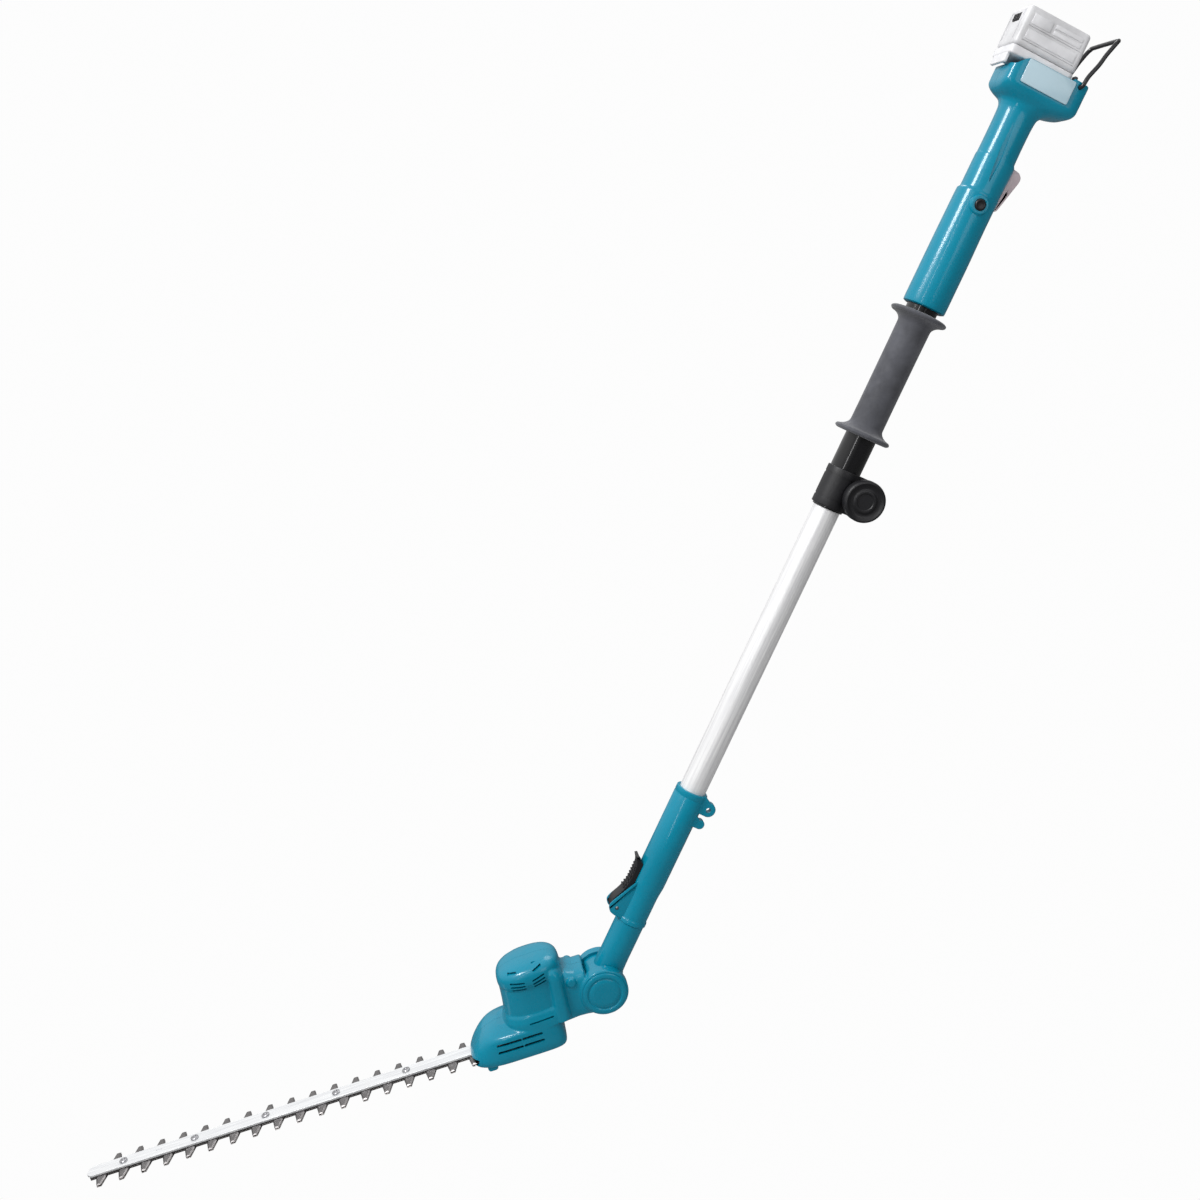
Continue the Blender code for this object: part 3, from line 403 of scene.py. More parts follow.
def combine(piece, form_data, operation, use_self):
    """Joins or cuts a closed bmesh, in millimetres and in the piece's own frame, for good."""
    form = bpy.data.objects.new("form", to_metres(form_data, "form"))
    bpy.context.scene.collection.objects.link(form)
    form.matrix_world = piece.matrix_world.copy()
    modifier = piece.modifiers.new("combine", "BOOLEAN")
    modifier.operation = operation
    modifier.solver = "EXACT"
    modifier.object = form
    modifier.use_self = use_self
    bake_modifiers(piece)
    bpy.data.objects.remove(form, do_unlink=True)


def apply_cuts(piece, cutter_data):
    combine(piece, cutter_data, "DIFFERENCE", True)


def cut_form(piece, add_form, *arguments):
    """Cuts one form out of the piece: add_form is add_box, add_plug or the like."""
    cutter = bmesh.new()
    add_form(cutter, *arguments)
    apply_cuts(piece, cutter)


def bake_modifiers(piece):
    """Replaces the piece's mesh with what its modifiers make of it."""
    bpy.context.view_layer.update()
    graph = bpy.context.evaluated_depsgraph_get()
    made = bpy.data.meshes.new_from_object(piece.evaluated_get(graph))
    old = piece.data
    piece.modifiers.clear()
    piece.data = made
    bpy.data.meshes.remove(old)


def add_box(mesh_data, low, high, round_by=0.0, segments=3):
    """A block with rounded edges."""
    made = bmesh.new()
    bmesh.ops.create_cube(made, size=1.0)
    size = Vector(high) - Vector(low)
    bmesh.ops.scale(made, vec=size, verts=made.verts)
    bmesh.ops.translate(made, vec=(Vector(high) + Vector(low)) / 2, verts=made.verts)
    if round_by:
        bmesh.ops.bevel(made, geom=made.edges[:], offset=round_by, segments=segments, affect="EDGES",
                        profile=0.5)
    scrap = bpy.data.meshes.new("scrap")
    made.to_mesh(scrap)
    made.free()
    mesh_data.from_mesh(scrap)
    bpy.data.meshes.remove(scrap)


def add_tube(mesh_data, points, radius, sides=20):
    """A round wire along a route of points, capped at both ends."""
    rings = []
    up = Vector((0.0, 0.0, 1.0))
    side = None
    for i, point in enumerate(points):
        before = Vector(points[max(i - 1, 0)])
        after = Vector(points[min(i + 1, len(points) - 1)])
        along = (after - before).normalized()
        if side is None:
            side = along.cross(up if abs(along.z) < 0.9 else Vector((1.0, 0.0, 0.0))).normalized()
        side = (side - along * side.dot(along)).normalized()
        other = along.cross(side)
        rings.append([Vector(point) + (side * math.cos(2 * math.pi * k / sides)
                                       + other * math.sin(2 * math.pi * k / sides)) * radius
                      for k in range(sides)])
    add_rings(mesh_data, rings)


def smooth_route(points, steps=6):
    """Catmull-Rom through the points of a bent wire."""
    made = []
    for i in range(len(points) - 1):
        a = Vector(points[max(i - 1, 0)])
        b = Vector(points[i])
        c = Vector(points[i + 1])
        d = Vector(points[min(i + 2, len(points) - 1)])
        for k in range(steps):
            made.append(catmull(a, b, c, d, k / steps))
    made.append(Vector(points[-1]))
    return made


# ---------------------------------------------------------------- the finishes

TEAL = (0.0002, 0.225, 0.34)
BLACK = (0.010, 0.010, 0.012)

teal_plastic = gloss_plastic("teal_plastic", TEAL)
# The plate's pale blue-grey is a painted reflection: it stands for the light mirrored in the tray's glossy
# flank.
plate_painted_reflection = gloss_plastic("plate_painted_reflection", (0.44, 0.60, 0.68), 0.16, 0.6)
black_gloss = gloss_plastic("black_gloss", (0.006, 0.006, 0.007), 0.14, 0.8)
hook_coat = gloss_plastic("hook_coat", (0.02, 0.02, 0.022), 0.3, 0.3)
black_matte = matte_plastic("black_matte", BLACK, 0.42)
# The trigger's pale pinkish grey is partly its own grey plastic and partly a painted reflection of the
# light on its side face.
trigger_grey_and_reflection = matte_plastic("trigger_grey_and_reflection", (0.56, 0.47, 0.5), 0.4)
battery_pale = matte_plastic("battery_pale", (0.62, 0.62, 0.635), 0.42)
battery_panel = matte_plastic("battery_panel", (0.7, 0.7, 0.72), 0.36)
grip_rubber = rubber("grip_rubber", (0.062, 0.064, 0.076))
steel = metal("steel", (0.5, 0.5, 0.52), 0.3)
bar_metal = metal("bar_metal", (0.88, 0.89, 0.92), 0.36, (0.04, 1.0, 1.0), 500.0, 0.00001)
bar_metal.node_tree.nodes["Principled BSDF"].inputs["Metallic"].default_value = 0.55
tooth_metal = metal("tooth_metal", (0.15, 0.142, 0.138), 0.38, (1.0, 0.08, 1.0), 600.0, 0.00005)
strip_metal = metal("strip_metal", (0.24, 0.23, 0.23), 0.34, (0.04, 1.0, 1.0), 600.0)
tube_metal = metal("tube_metal", (0.9, 0.9, 0.92), 0.42, (1.0, 1.0, 0.02), 500.0, 0.000004)
tube_metal.node_tree.nodes["Principled BSDF"].inputs["Metallic"].default_value = 0.35
cast_metal = metal("cast_metal", (0.55, 0.55, 0.57), 0.5, (1.0, 1.0, 1.0), 220.0, 0.0001)


# ---------------------------------------------------------------- tubes, grip and clamp

INNER_RADIUS = 15.2
OUTER_RADIUS = 17.3
GAP = 0.3


def make_tubes():
    """The bright inner tube and the black outer tube that it slides in."""
    mesh_data = bmesh.new()
    add_lathe(mesh_data, [(INNER_RADIUS, 121.0), (INNER_RADIUS, 300.0), (INNER_RADIUS, 480.0),
                          (INNER_RADIUS, 653.0), (INNER_RADIUS - 0.8, 654.0), (INNER_RADIUS - 1.5, 654.0),
                          (INNER_RADIUS - 1.5, 121.0)])
    finish_node("inner_tube", mesh_data, "extension_pole", tube_metal, "inner_tube")
    mesh_data = bmesh.new()
    add_lathe(mesh_data, [(15.8, 608.0), (16.3, 607.0), (OUTER_RADIUS - 0.5, 607.0), (OUTER_RADIUS, 607.6),
                          (OUTER_RADIUS, 740.0), (OUTER_RADIUS, 900.0), (15.8, 900.0)])
    finish_node("outer_tube", mesh_data, "rear_handle", black_gloss, "outer_tube")


def make_grip():
    """A soft sleeve with a flared guard at each end."""
    low = 692.0
    high = 835.0
    bore = OUTER_RADIUS + GAP
    outline = [
        (bore, low, 0.4),
        (29.0, low, 2.0),
        (32.0, low + 2.2, 2.4),
        (30.6, low + 5.0, 2.0),
        (24.0, low + 6.8, 4.0),
        (18.7, low + 11.5, 6.0),
        (18.5, low + 40.0, 30.0),
        (18.5, high - 40.0, 30.0),
        (18.7, high - 11.5, 6.0),
        (24.0, high - 6.8, 4.0),
        (30.6, high - 5.0, 2.0),
        (32.0, high - 2.2, 2.4),
        (29.0, high, 2.0),
        (bore, high, 0.4),
    ]
    mesh_data = bmesh.new()
    add_lathe(mesh_data, rounded(outline, 1.0, 6))
    finish_node("front_grip", mesh_data, "rear_handle", grip_rubber, "grip_rubber", angle=50)


CLAMP_Z = 631.0
CLAMP_X = 24.5


def clamp_outline(outer, bore, ear_x, ear_y, slit):
    """A split collar seen along the pole, with its two ears on the underside."""
    points = [(ear_x - 2, slit), (ear_x, slit + 2), (ear_x, ear_y - 2.5), (ear_x - 2.5, ear_y)]
    start = math.asin(ear_y / outer)
    steps = 72
    for i in range(steps + 1):
        angle = start + (2 * math.pi - 2 * start) * i / steps
        points.append((outer * math.cos(angle), outer * math.sin(angle)))
    points += [(ear_x - 2.5, -ear_y), (ear_x, -ear_y + 2.5), (ear_x, -slit - 2), (ear_x - 2, -slit)]
    start = math.asin(slit / bore)
    for i in range(steps + 1):
        angle = 2 * math.pi - start - (2 * math.pi - 2 * start) * i / steps
        points.append((bore * math.cos(angle), bore * math.sin(angle)))
    return points


def make_clamp():
    mesh_data = bmesh.new()
    outline = clamp_outline(OUTER_RADIUS + 2.2, OUTER_RADIUS + GAP, 33.0, 9.0, 1.4)
    add_prism(mesh_data, outline, CLAMP_Z - 22, CLAMP_Z + 22, "Z", 0.8, 4)
    collar = finish_node("tube_clamp", mesh_data, "rear_handle", black_matte, "black_plastic")
    cutter = bmesh.new()
    add_plug(cutter, [(3.2, -20), (3.2, 20)], "Y", (CLAMP_X, 0, CLAMP_Z), 32)
    for z in (-13.0, 13.0):
        add_lathe(cutter, [(OUTER_RADIUS + 1.7, z - 1.1), (OUTER_RADIUS + 5, z - 1.1),
                           (OUTER_RADIUS + 5, z + 1.1), (OUTER_RADIUS + 1.7, z + 1.1)],
                  "Z", (0, 0, CLAMP_Z), 72)
    apply_cuts(collar, cutter)
    soften(collar, 35)


def make_knob():
    """The clamp's thumb wheel: a smooth disc with a sunk centre and a raised rim."""
    face = -35.4
    back = -20.9
    radius = 23.0
    profile = [
        (0.2, face + 2.0), (8.6, face + 2.0), (9.4, face + 1.1), (11.0, face + 0.9), (12.2, face + 1.2),
        (13.2, face + 2.2), (14.2, face + 2.5), (18.0, face + 2.0), (19.4, face + 0.5), (20.6, face),
        (21.8, face + 0.4), (22.7, face + 1.6), (radius, face + 3.4),
        (radius, back - 3.5), (radius - 0.5, back - 1.2), (radius - 1.6, back), (6.0, back), (6.0, -9.4),
        (2.9, -9.4), (2.9, -22.0), (0.2, -22.0),
    ]
    mesh_data = bmesh.new()
    add_plug(mesh_data, profile, "Y", (CLAMP_X, 0, CLAMP_Z), 160)
    finish_node("clamp_knob", mesh_data, "clamp_knob", black_matte, "black_plastic", angle=40)


# ---------------------------------------------------------------- cutter head

MOTOR_X = 80.0
CRANK_X = 109.1
EAR_INNER = 17.5
EAR_OUTER = 30.0
EAR_RADIUS = 28.0
CAP_RADIUS = 25.5
BASE_BOTTOM = -48.0
SHAFT_RADIUS = 6.0
HEAD_SCREWS = [(80.0, 20.0), (150.0, -28.0)]


def base_stations(inset=0.0, bottom=BASE_BOTTOM):
    """The gear base from its floor up; the nose slopes back toward the motor."""
    rows = [
        (bottom, 52.0, 31.5, 110.5),
        (BASE_BOTTOM + 1.5, 54.4, 34.2, 112.0),
        (BASE_BOTTOM + 4, 56.4, 36.4, 113.2),
        (-38.0, 57.6, 38.0, 113.6),
        (-28.0, 55.0, 38.0, 111.0),
        (-19.0, 50.8, 37.8, 107.4),
        (-14.0, 47.2, 37.2, 104.8),
        (-11.0, 44.2, 34.2, 102.8),
        (-8.5, 40.2, 27.5, 100.0),
        (-6.0, 35.0, 20.0, 96.5),
    ]
    return [(z, half_x - inset, half_y - inset, x, 0.0, 3.2) for z, half_x, half_y, x in rows]


def base_ring(z, half_x, half_y, centre_x, centre_y, power):
    """An oval with a rounded nose and a squarer rear end."""
    made = []
    for point in oval(z, half_x, half_y, 0.0, 0.0, power, 128):
        if point.x < 0:
            c = abs(point.x) / half_x
            point.y = math.copysign(half_y * (1 - c ** 7) ** (1 / 7), point.y)
        made.append(Vector((point.x + centre_x, point.y + centre_y, z)))
    return made


def neck_ring(x, tall, wide, middle, power):
    """One station of the neck, whose loft runs along +X; its middle is a height in the head frame."""
    return (x, tall, wide, -middle, 0.0, power)


def add_head_form(mesh_data):
    """The overlapping closed forms that the remesh turns into one moulded skin."""
    drum = [
        (-14.0, 39.2, 33.4, 79.5, 0.0, 2.5),
        (4.0, 38.8, 33.2, 79.2, 0.0, 2.5),
        (20.0, 37.6, 32.6, 78.4, 0.0, 2.5),
        (44.0, 36.2, 32.4, 77.8, 0.0, 2.5),
    ]
    cap = [
        (37.0, 35.0, 32.6, 77.4, 0.0, 2.6),
        (39.5, 37.2, 34.4, 77.4, 0.0, 2.6),
        (44.0, 37.8, 35.2, 77.2, 0.0, 2.6),
        (50.0, 37.2, 34.6, 76.8, 0.0, 2.6),
        (54.5, 34.6, 32.6, 75.8, 0.0, 2.6),
        (58.0, 29.0, 28.8, 74.2, 0.0, 2.5),
        (60.6, 20.5, 21.5, 72.4, 0.0, 2.3),
        (61.8, 10.0, 12.0, 71.4, 0.0, 2.0),
    ]
    column = [
        (-16.0, 12.5, 36.2, 54.5, 0.0, 3.4),
        (10.0, 10.5, 35.6, 51.5, 0.0, 3.4),
        (32.0, 10.0, 35.2, 49.8, 0.0, 3.4),
        (40.0, 9.2, 34.4, 50.2, 0.0, 3.2),
        (46.0, 7.6, 32.0, 52.0, 0.0, 3.0),
        (50.0, 5.0, 27.0, 54.0, 0.0, 2.6),
    ]
    foot = [
        (-16.0, 42.6, 37.6, 80.0, 0.0, 2.8),
        (-6.0, 42.0, 37.0, 79.8, 0.0, 2.8),
        (-2.0, 40.8, 36.0, 79.6, 0.0, 2.8),
        (2.5, 39.4, 34.6, 79.3, 0.0, 2.7),
        (5.5, 37.0, 32.0, 79.2, 0.0, 2.6),
    ]
    neck = [
        neck_ring(16.0, 28.0, EAR_OUTER - 2.6, 2.2, 4.5),
        neck_ring(17.2, 29.0, EAR_OUTER - 1.5, 2.2, 4.5),
        neck_ring(27.0, 28.6, EAR_OUTER - 2.2, 2.9, 4.5),
        neck_ring(36.0, 30.2, EAR_OUTER - 2.5, 4.6, 4.5),
        neck_ring(62.0, 33.0, 27.0, 4.0, 4.0),
    ]
    add_loft(mesh_data, flowing(drum, 5))
    add_loft(mesh_data, flowing(cap, 5))
    add_loft(mesh_data, flowing(column, 5))
    add_loft(mesh_data, flowing(foot, 4))
    add_rings(mesh_data, [base_ring(*station) for station in flowing(base_stations(), 5)])
    add_loft(mesh_data, neck, "X")
    for side in (1, -1):
        ear = [(0.2, side * 8.0), (EAR_RADIUS, side * 8.0), (EAR_RADIUS, side * (EAR_OUTER - 1.2)),
               (EAR_RADIUS - 1.2, side * EAR_OUTER), (0.2, side * EAR_OUTER)]
        add_plug(mesh_data, ear, "Y", sides=96)
        boss = [(0.2, side * 12.0), (5.5, side * 12.0), (5.5, side * 28.6), (4.4, side * 29.4),
                (0.2, side * 29.4)]
        add_plug(mesh_data, boss, "Y", (33.0, 0.0, 24.0), 48)


def add_slot(mesh_data, start, end, half_height, low_y, high_y):
    """A rounded slot in the side wall, drawn from start to end as (x, z)."""
    a = Vector(start)
    b = Vector(end)
    along = (b - a).normalized()
    across = Vector((-along.y, along.x)) * half_height
    outline = []
    for centre, turn in ((b, -1), (a, 1)):
        for k in range(7):
            angle = math.pi * (k / 6 - 0.5)
            outline.append(tuple(centre - turn * (along * math.cos(angle) * half_height) + turn * (
                -across * math.sin(angle))))
    spread = [[(u, y, v) for u, v in outline] for y in (low_y, high_y)]
    add_rings(mesh_data, spread)


LOUVRES = [
    ((98.0, 61.0), (91.5, 61.4), 1.0),
    ((98.5, 56.4), (90.0, 57.0), 1.15),
    ((69.5, 60.4), (62.5, 62.2), 1.0),
    ((69.5, 55.6), (61.0, 57.6), 1.15),
    ((98.5, 47.6), (84.0, 45.6), 1.15),
    ((73.0, 45.4), (60.0, 48.4), 1.15),
    ((98.5, 43.0), (84.0, 41.4), 1.15),
    ((73.0, 41.2), (60.0, 44.0), 1.15),
    ((98.0, 38.4), (84.0, 37.2), 1.15),
    ((73.0, 37.0), (60.0, 39.6), 1.15),
]
FLANK_VENTS = [
    ((134.0, -20.0), (107.5, -20.0), 1.7),
    ((103.5, -20.0), (82.5, -20.0), 1.7),
    ((134.5, -28.6), (107.5, -28.6), 1.7),
    ((103.5, -28.6), (82.5, -28.6), 1.7),
    ((91.0, -5.6), (64.0, -5.0), 1.0),
]


def add_head_rooms(cutter):
    """The hollows of the head: the hinge's and its shaft's, the motor's, the gears' and the bar's."""
    room = EAR_RADIUS + 0.6
    add_plug(cutter, [(room, -EAR_INNER), (room, EAR_INNER)], "Y", sides=96)
    add_plug(cutter, [(SHAFT_RADIUS + 0.3, -60), (SHAFT_RADIUS + 0.3, 60)], "Y", sides=48)
    motor_room = [(-30.0, 30.5, 30.4, MOTOR_X), (48.0, 30.5, 30.4, MOTOR_X), (56.0, 24.0, 24.0, MOTOR_X)]
    add_loft(cutter, motor_room)
    add_loft(cutter, base_stations(3.0, BASE_BOTTOM - 9)[:-2], sides=96)
    add_box(cutter, (145, -29.5, -42.0), (175, 29.5, -34.1))


def add_head_openings(cutter):
    """Vent slots in both flanks, and the screw seats in the far half."""
    for start, end, half_height in LOUVRES:
        add_slot(cutter, start, end, half_height, 20.0, 42.0)
        add_slot(cutter, start, end, half_height, -42.0, -20.0)
    for start, end, half_height in FLANK_VENTS:
        add_slot(cutter, start, end, half_height, 30.0, 46.0)
        add_slot(cutter, start, end, half_height, -46.0, -30.0)
    for x, z in HEAD_SCREWS:
        add_plug(cutter, [(3.6, -60), (3.6, -30.6)], "Y", (x, 0, z), 32)
        add_plug(cutter, [(1.9, -40), (1.9, -20)], "Y", (x, 0, z), 24)


def remeshed(piece, voxel, rounds):
    """Fuses a piece's overlapping forms into one skin and melts the creases a little."""
    remesh = piece.modifiers.new("fuse", "REMESH")
    remesh.mode = "VOXEL"
    remesh.voxel_size = voxel * MM
    melt = piece.modifiers.new("melt", "SMOOTH")
    melt.factor = 0.5
    melt.iterations = rounds
    bake_modifiers(piece)


def copy_shell(near, node, matrix, body):
    """A second piece with the near shell's mesh, for the far half."""
    far = bpy.data.objects.new(f"{node}_finish", near.data.copy())
    bpy.context.scene.collection.objects.link(far)
    far.matrix_world = matrix
    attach(far, body)
    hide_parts(node)
    return far


def keep_half(piece, side, gap):
    """Keeps the part of a shell on one side of the parting plane and closes the cut."""
    mesh_data = bmesh.new()
    mesh_data.from_mesh(piece.data)
    cut = bmesh.ops.bisect_plane(
        mesh_data, geom=mesh_data.verts[:] + mesh_data.edges[:] + mesh_data.faces[:], dist=1e-7,
        plane_co=(0, side * gap * MM, 0), plane_no=(0, -side, 0), clear_outer=True)
    edges = [part for part in cut["geom_cut"] if isinstance(part, bmesh.types.BMEdge)]
    bmesh.ops.triangle_fill(mesh_data, use_beauty=True, edges=edges)
    bmesh.ops.recalc_face_normals(mesh_data, faces=mesh_data.faces)
    mesh_data.to_mesh(piece.data)
    mesh_data.free()


def make_head_shells():
    """The hollow head, fused into one skin and then cut into its two halves."""
    mesh_data = bmesh.new()
    add_head_form(mesh_data)
    near = finish_node("head_shell_near", mesh_data, "cutter_head", teal_plastic, "teal_shell",
                       smooth=False)
    remeshed(near, 1.0, 4)
    cutter = bmesh.new()
    add_head_rooms(cutter)
    add_head_openings(cutter)
    apply_cuts(near, cutter)
    far = copy_shell(near, "head_shell_far", HEAD, "cutter_head")
    keep_half(near, 1, 0.12)
    keep_half(far, -1, 0.12)
    soften(near, 38)
    soften(far, 38)


def make_head_trim():
    """The hinge's two caps, the cover under the gears, the skid at the nose and the gear case."""
    for side, name in ((1, "near"), (-1, "far")):
        mesh_data = bmesh.new()
        out = EAR_OUTER
        profile = [(0.2, side * (out + 0.3)), (CAP_RADIUS - 0.4, side * (out + 0.3)),
                   (CAP_RADIUS, side * (out + 0.7)), (CAP_RADIUS, side * (out + 1.4)),
                   (CAP_RADIUS - 1.0, side * (out + 2.2)), (CAP_RADIUS - 3.0, side * (out + 2.6)),
                   (CAP_RADIUS - 5.0, side * (out + 2.5)), (CAP_RADIUS - 6.2, side * (out + 1.5)),
                   (CAP_RADIUS - 7.4, side * (out + 1.5)), (CAP_RADIUS - 8.6, side * (out + 2.4)),
                   (12.0, side * (out + 2.6)), (0.2, side * (out + 2.6))]
        add_plug(mesh_data, profile, "Y", sides=128)
        finish_node(f"hinge_cap_{name}", mesh_data, "cutter_head", teal_plastic, "teal_shell")
    mesh_data = bmesh.new()
    ring = (47.6, 27.2, 110.5, 0.0, 3.2)
    inner = (47.0, 26.6, 110.5, 0.0, 3.2)
    low = BASE_BOTTOM
    add_loft(mesh_data, [(low, *inner), (low + 0.6, *ring), (low + 3.4, *ring)], sides=128)
    cover = finish_node("under_cover", mesh_data, "cutter_head", black_matte, "black_plastic")
    cutter = bmesh.new()
    add_plug(cutter, [(SHAFT_RADIUS + 0.3, -60), (SHAFT_RADIUS + 0.3, -40)], "Z", (CRANK_X, 0, 0), 48)
    for x in (78.0, 84.0, 90.0):
        add_box(cutter, (x - 1.0, -12, low - 1), (x + 1.0, 12, low + 1.2), 0.3, 2)
    apply_cuts(cover, cutter)
    soften(cover, 35)
    mesh_data = bmesh.new()
    add_box(mesh_data, (143, -24, -57), (155, 24, BASE_BOTTOM - 0.3), 3.2, 5)
    finish_node("front_skid", mesh_data, "cutter_head", teal_plastic, "teal_shell")
    mesh_data = bmesh.new()
    outline = rounded([(74, -22), (138, -22), (148, -10), (148, 10), (138, 22), (74, 22), (66, 12),
                       (66, -12)], 3.0, 4)
    add_prism(mesh_data, outline, -21.0, -16.0, "Z", 0.6, 2)
    add_box(mesh_data, (134, -8, -34.4), (147, 8, -20.6), 0.6, 2)
    case = finish_node("gear_case", mesh_data, "cutter_head", cast_metal, "cast_metal")
    cutter = bmesh.new()
    add_plug(cutter, [(11.3, -30), (11.3, 0)], "Z", (CRANK_X, 0, 0), 64)
    add_plug(cutter, [(6.0, -30), (6.0, 0)], "Z", (MOTOR_X, 0, 0), 48)
    apply_cuts(case, cutter)
    soften(case, 35)


def make_screw(node, body, head_radius, head_low, head_high, tip, centre):
    """A pan-head screw along Y with a domed rim and a cross recess."""
    sign = 1.0 if head_high > head_low else -1.0
    shank = 1.5
    profile = [
        (0.2, tip), (shank, tip + sign * 0.6), (shank, head_low), (head_radius - 0.2, head_low),
        (head_radius, head_low + sign * 0.3), (head_radius - 0.5, head_high - sign * 0.3),
        (head_radius - 1.3, head_high), (0.2, head_high),
    ]
    mesh_data = bmesh.new()
    add_plug(mesh_data, profile, "Y", centre, 40)
    screw = finish_node(node, mesh_data, body, steel, "steel")
    x, _, z = centre
    low_y, high_y = sorted((head_high - sign * 1.1, head_high + sign * 3.0))
    for half_x, half_z in ((1.7, 0.35), (0.35, 1.7)):
        cut_form(screw, add_box, (x - half_x, low_y, z - half_z), (x + half_x, high_y, z + half_z))
    soften(screw, 35)


# ---------------------------------------------------------------- cutter bar and cutters

BAR_TOP = -34.7
BAR_THICKNESS = 2.6
STRIP = 1.6
BAR_START = 131.0
BAR_END = 628.8
BAR_HALF = 9.5
PITCH = 26.15
REACH = 26.0
FIRST_NEAR = 612.0
NEAR_TEETH = 18
FAR_TEETH = 17
FIRST_BOLT = 586.6
BOLT_SPACING = 84.6
BOLT_PLACES = [FIRST_BOLT - i * BOLT_SPACING for i in range(5)]
UPPER_TOP = BAR_TOP - BAR_THICKNESS - GAP
LOWER_TOP = UPPER_TOP - STRIP - GAP


def add_tooth(mesh_data, x, side, root_y, low, high):
    """One ground tooth: a trapezoid whose two flanks are bevelled from one face."""
    root = PITCH * 0.25
    tip = PITCH * 0.10
    lift = (high - low) * 0.75
    narrower = 0.8
    face_root = narrower * (root - 0.4)
    face_tip = narrower * (tip - 1.2)
    inner = root_y - 1.0
    flat = [(-root, inner), (-root, root_y), (-tip, REACH), (tip, REACH), (root, root_y), (root, inner)]
    face = [(-root, inner), (-face_root, root_y), (-face_tip, REACH - 1.4), (face_tip, REACH - 1.4),
            (face_root, root_y), (root, inner)]
    levels = [(low, flat), (high - lift, flat), (high, face)]
    add_rings(mesh_data, [[Vector((x + u, side * v, z)) for u, v in outline] for z, outline in levels])


def level_faces(piece):
    """Lets the large faces set the shading, so that a flat face stays flat up to its rounded rim."""
    even = piece.modifiers.new("level", "WEIGHTED_NORMAL")
    even.keep_sharp = True
    even.weight = 100


def make_cutter(node, top, made):
    """A toothed strip with guide slots over the bolts and a yoke round the crank."""
    low = top - STRIP
    half = BAR_HALF - 0.6
    mesh_data = bmesh.new()
    rear = CRANK_X + 22
    outline = rounded([(BAR_END - 3, -half), (BAR_END - 3, half), (rear + 8, half), (rear - 2, 22.5),
                       (CRANK_X - 16, 22.5), (CRANK_X - 17.5, 20.0), (CRANK_X - 17.5, -20.0),
                       (CRANK_X - 16, -22.5), (rear - 2, -22.5), (rear + 8, -half)], 1.2, 3)
    add_prism(mesh_data, outline, low, top, "Z", 0.15, 1)
    for i in range(NEAR_TEETH):
        add_tooth(mesh_data, FIRST_NEAR - i * PITCH, 1, half, low, top)
    for i in range(FAR_TEETH):
        add_tooth(mesh_data, FIRST_NEAR - PITCH / 2 - i * PITCH, -1, half, low, top)
    piece = finish_node(node, mesh_data, node, made, "tooth_steel", smooth=False)
    cutter = bmesh.new()
    yoke = rounded([(CRANK_X + 12.9, -18.3), (CRANK_X + 12.9, 18.3), (CRANK_X - 12.9, 18.3),
                    (CRANK_X - 12.9, -18.3)], 4.0, 5)
    add_prism(cutter, yoke, top - 5, top + 5)
    for x in BOLT_PLACES:
        slot = rounded([(x + 10.5, -3.3), (x + 10.5, 3.3), (x - 10.5, 3.3), (x - 10.5, -3.3)], 3.0, 5)
        add_prism(cutter, slot, top - 5, top + 5)
    apply_cuts(piece, cutter)
    soften(piece, 25)
    level_faces(piece)


def make_bar():
    """The guide bar with its rounded edges, and a bolt over each of the cutters' guide slots."""
    low = BAR_TOP - BAR_THICKNESS
    mesh_data = bmesh.new()
    end = BAR_END
    outline = rounded([(BAR_START, -BAR_HALF), (end - 5, -BAR_HALF), (end, -BAR_HALF + 4),
                       (end, BAR_HALF - 4), (end - 5, BAR_HALF), (BAR_START, BAR_HALF)], 2.0, 4)
    add_prism(mesh_data, outline, low, BAR_TOP, "Z", 0.5, 3)
    bar = finish_node("guide_bar", mesh_data, "cutter_head", bar_metal, "bar_metal")
    cutter = bmesh.new()
    for x in BOLT_PLACES:
        add_plug(cutter, [(2.8, low - 3), (2.8, BAR_TOP + 3)], "Z", (x, 0, 0), 32)
    slot = rounded([(548.0, -0.9), (548.0, 0.9), (541.0, 0.9), (541.0, -0.9)], 0.8, 4)
    add_prism(cutter, slot, BAR_TOP - 0.8, BAR_TOP + 3)
    apply_cuts(bar, cutter)
    soften(bar, 30)
    level_faces(bar)
    bottom = LOWER_TOP - STRIP
    profile = [(0.2, bottom - 2.6), (3.6, bottom - 2.6), (4.2, bottom - 2.1), (4.2, bottom - GAP),
               (2.5, bottom - GAP), (2.5, BAR_TOP + GAP), (4.5, BAR_TOP + GAP), (4.6, BAR_TOP + 0.5),
               (4.6, BAR_TOP + 1.2), (4.2, BAR_TOP + 1.8), (3.2, BAR_TOP + 2.2), (2.2, BAR_TOP + 2.1),
               (1.9, BAR_TOP + 1.5), (0.2, BAR_TOP + 1.5)]
    for number, x in enumerate(BOLT_PLACES, 1):
        mesh_data = bmesh.new()
        add_plug(mesh_data, profile, "Z", (x, 0, 0), 48)
        finish_node(f"blade_bolt_{number}", mesh_data, "cutter_head", steel, "steel")


# ---------------------------------------------------------------- hinge arm, holder and lever

LEVER = (-24.2, 0.0, 94.4)
LEVER_HALF = 8.6
HOLDER_SCREWS = [150.0, 205.0]


